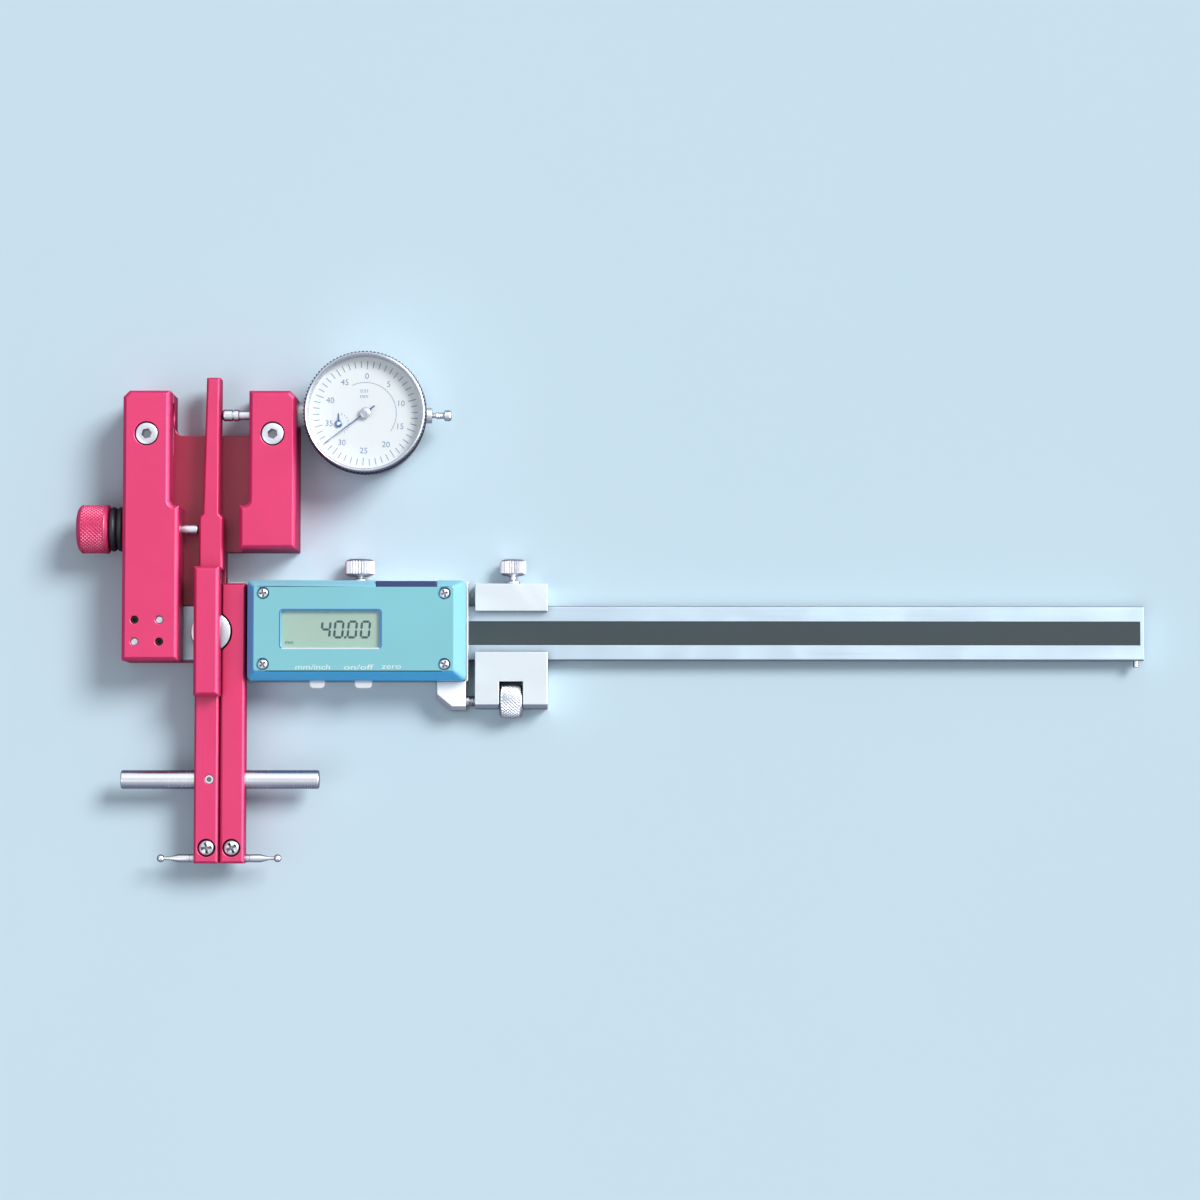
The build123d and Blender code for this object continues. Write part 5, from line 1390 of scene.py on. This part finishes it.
def make_plunger():
    """The measuring rod, its contact point and the lifting cap at the other end."""
    low, high, radius = bar_box("contact_point")
    profile = dome(low.x + CONTACT_DOME, -CONTACT_DOME, radius) + from_corner(low.x, radius, CONTACT_GROOVE)
    profile += from_corner(high.x, radius, [(-0.3, 0), (0, -0.3)]) + [(high.x, 0)]
    stand_turned("contact_point", "x", profile, 64)

    low, high, radius = bar_box("gauge_plunger")
    shoulder = node_box("gauge_case")[1].x - PLUNGER_SHOULDER
    profile = [(low.x, 0), (low.x, radius), (shoulder, radius), (shoulder, PLUNGER_END)]
    profile += [(high.x, PLUNGER_END), (high.x, 0)]
    stand_turned("gauge_plunger", "x", profile, 64)

    low, high, knob = bar_box("lifting_cap")
    profile = from_corner(low.x, 0, CAP_STEM) + from_corner(low.x, knob, [(2.6, -0.35), (2.9, 0)])
    profile += from_corner(high.x, knob, [(-0.6, 0), (-0.15, -0.3), (0, -0.8)])
    profile += [(high.x, 0), (low.x + CAP_BORE_DEPTH, 0), (low.x + CAP_BORE_DEPTH, CAP_BORE)]
    stand_turned("lifting_cap", "x", profile, 64)


# ---- studio ----
CAMERA_PLACE = (109, -51, 1087)
CAMERA_AIM = (125.3, 10.5, 12)
CAMERA_LENS = 100.0
CAMERA_NEAR = 0.01
LAMP_AIM = (90, 0, 10)
LAMPS = {                    # place, spread in degrees that softens the shadows, strength, colour
    "key_lamp": ((640, 430, 760), 24, 2.1, (1, 1, 1)),
    "fill_lamp": ((-420, -260, 900), 40, 0.45, (0.93, 0.97, 1.0)),
}
SKY_LEAN = (0.45, 0.30, 0.84)
SKY_LOW, SKY_HIGH = rgb(118, 130, 154), rgb(250, 252, 255)
BACKDROP = rgb(222, 238, 247)
WORLD_LIGHT = 0.42
SEEN_LIGHT = 0.50            # added where the world itself is seen, directly or in a mirror
CARDS = [                    # bright areas that only metal mirrors: the way to each, where it starts, is full
    ((0.93, 0.35, 0.12), 0.55, 0.92, 5.0),
    ((0.0, 0.94, 0.34), 0.35, 0.80, 0.6),
]
FLOOR_SIZE = 6.0
FLOOR_DROP = 0.00005
FLOOR_PAPER = (rgb(205, 230, 243), rgb(213, 235, 246))
FLOOR_IN_MIRRORS = rgb(116, 122, 146)


def look(place, aim):
    """A matrix that stands at a place in millimetres and looks at another, with +Y up."""
    at, to = Vector(place) * MM, Vector(aim) * MM
    forward = (to - at).normalized()
    right = forward.cross(Vector((0, 1, 0))).normalized()
    up = right.cross(forward)
    turn = Matrix((right, up, -forward)).transposed().to_4x4()
    return Matrix.Translation(at) @ turn


def make_floor():
    bm = bmesh.new()
    bmesh.ops.create_grid(bm, x_segments=1, y_segments=1, size=FLOOR_SIZE / 2)
    bmesh.ops.translate(bm, vec=(0, 0, -FLOOR_DROP), verts=bm.verts)
    mesh = bpy.data.meshes.new("floor")
    bm.to_mesh(mesh)
    bm.free()
    material, tree, shader = new_material("floor_paper", Roughness=0.85, Specular_IOR_Level=0.15)
    cloud = effect(tree, GRAIN, Grain_Scale=900.0, Cloud_Scale=3.0)["Cloud"]
    paper = mix_colour(tree, cloud, *FLOOR_PAPER)
    mirrored = light_path(tree)["Is Glossy Ray"]
    tree.links.new(mix_colour(tree, mirrored, paper, FLOOR_IN_MIRRORS), shader.inputs["Base Color"])
    mesh.materials.append(material)
    floor_piece = place_object("floor", mesh)


def make_world():
    """Soft light from all round, brighter overhead, and brighter still where metal mirrors it."""
    world = bpy.data.worlds.new("studio")
    world.use_nodes = True
    tree = world.node_tree
    background = next(n for n in tree.nodes if n.type == "BACKGROUND")
    direction = tree.nodes.new("ShaderNodeTexCoord").outputs["Generated"]
    bright = spread(tree, dot_product(tree, direction, SKY_LEAN), -0.35, 0.95)
    sky = mix_colour(tree, bright, SKY_LOW, SKY_HIGH)
    light = light_path(tree)
    backdrop = mix_colour(tree, light["Is Camera Ray"], sky, BACKDROP)
    tree.links.new(backdrop, background.inputs["Color"])
    seen = math_node(tree, "MAXIMUM", light["Is Camera Ray"], light["Is Glossy Ray"])
    seen = math_node(tree, "MAXIMUM", seen, light["Is Transmission Ray"])
    base = math_node(tree, "MULTIPLY_ADD", seen, SEEN_LIGHT, WORLD_LIGHT)
    glow = 0.0
    for towards, dim, full, strength in CARDS:
        card = spread(tree, dot_product(tree, direction, towards), dim, full, 0.0, strength, soft=True)
        glow = math_node(tree, "ADD", card, glow)
    mirrored = math_node(tree, "MULTIPLY", glow, light["Is Glossy Ray"])
    tree.links.new(math_node(tree, "ADD", base, mirrored), background.inputs["Strength"])
    bpy.context.scene.world = world


def make_studio():
    scene = bpy.context.scene
    scene.view_settings.view_transform = "Standard"
    make_floor()
    make_world()
    for name, (place, softness, strength, colour) in LAMPS.items():
        lamp = bpy.data.lights.new(name, "SUN")
        lamp.angle = radians(softness)
        lamp.energy = strength
        lamp.color = colour
        place_object(name, lamp, look(place, LAMP_AIM))
    camera = bpy.data.cameras.new("camera")
    camera.lens = CAMERA_LENS
    camera.clip_start = CAMERA_NEAR
    scene.camera = place_object("camera", camera, look(CAMERA_PLACE, CAMERA_AIM))


# ---- assembly ----
dress_plain_nodes()
make_machined_parts()
make_screws()
for rod, stylus, side in (("left_rod", "left_stylus", -1), ("right_rod", "right_stylus", 1)):
    make_rod(rod, side)
    make_stylus(stylus, side)
make_plain_turnings()
make_retract_knob()
make_knob_rings()
make_retract_pin()
make_pin_spring()
for node, (head_height, rail_top) in THUMB_SCREWS.items():
    make_thumb_screw(node, head_height, rail_top)
make_spindle()
make_adjusting_nut()
make_display()
make_bezel_and_dial()
make_dial_print()
make_hands()
make_plunger()
make_studio()
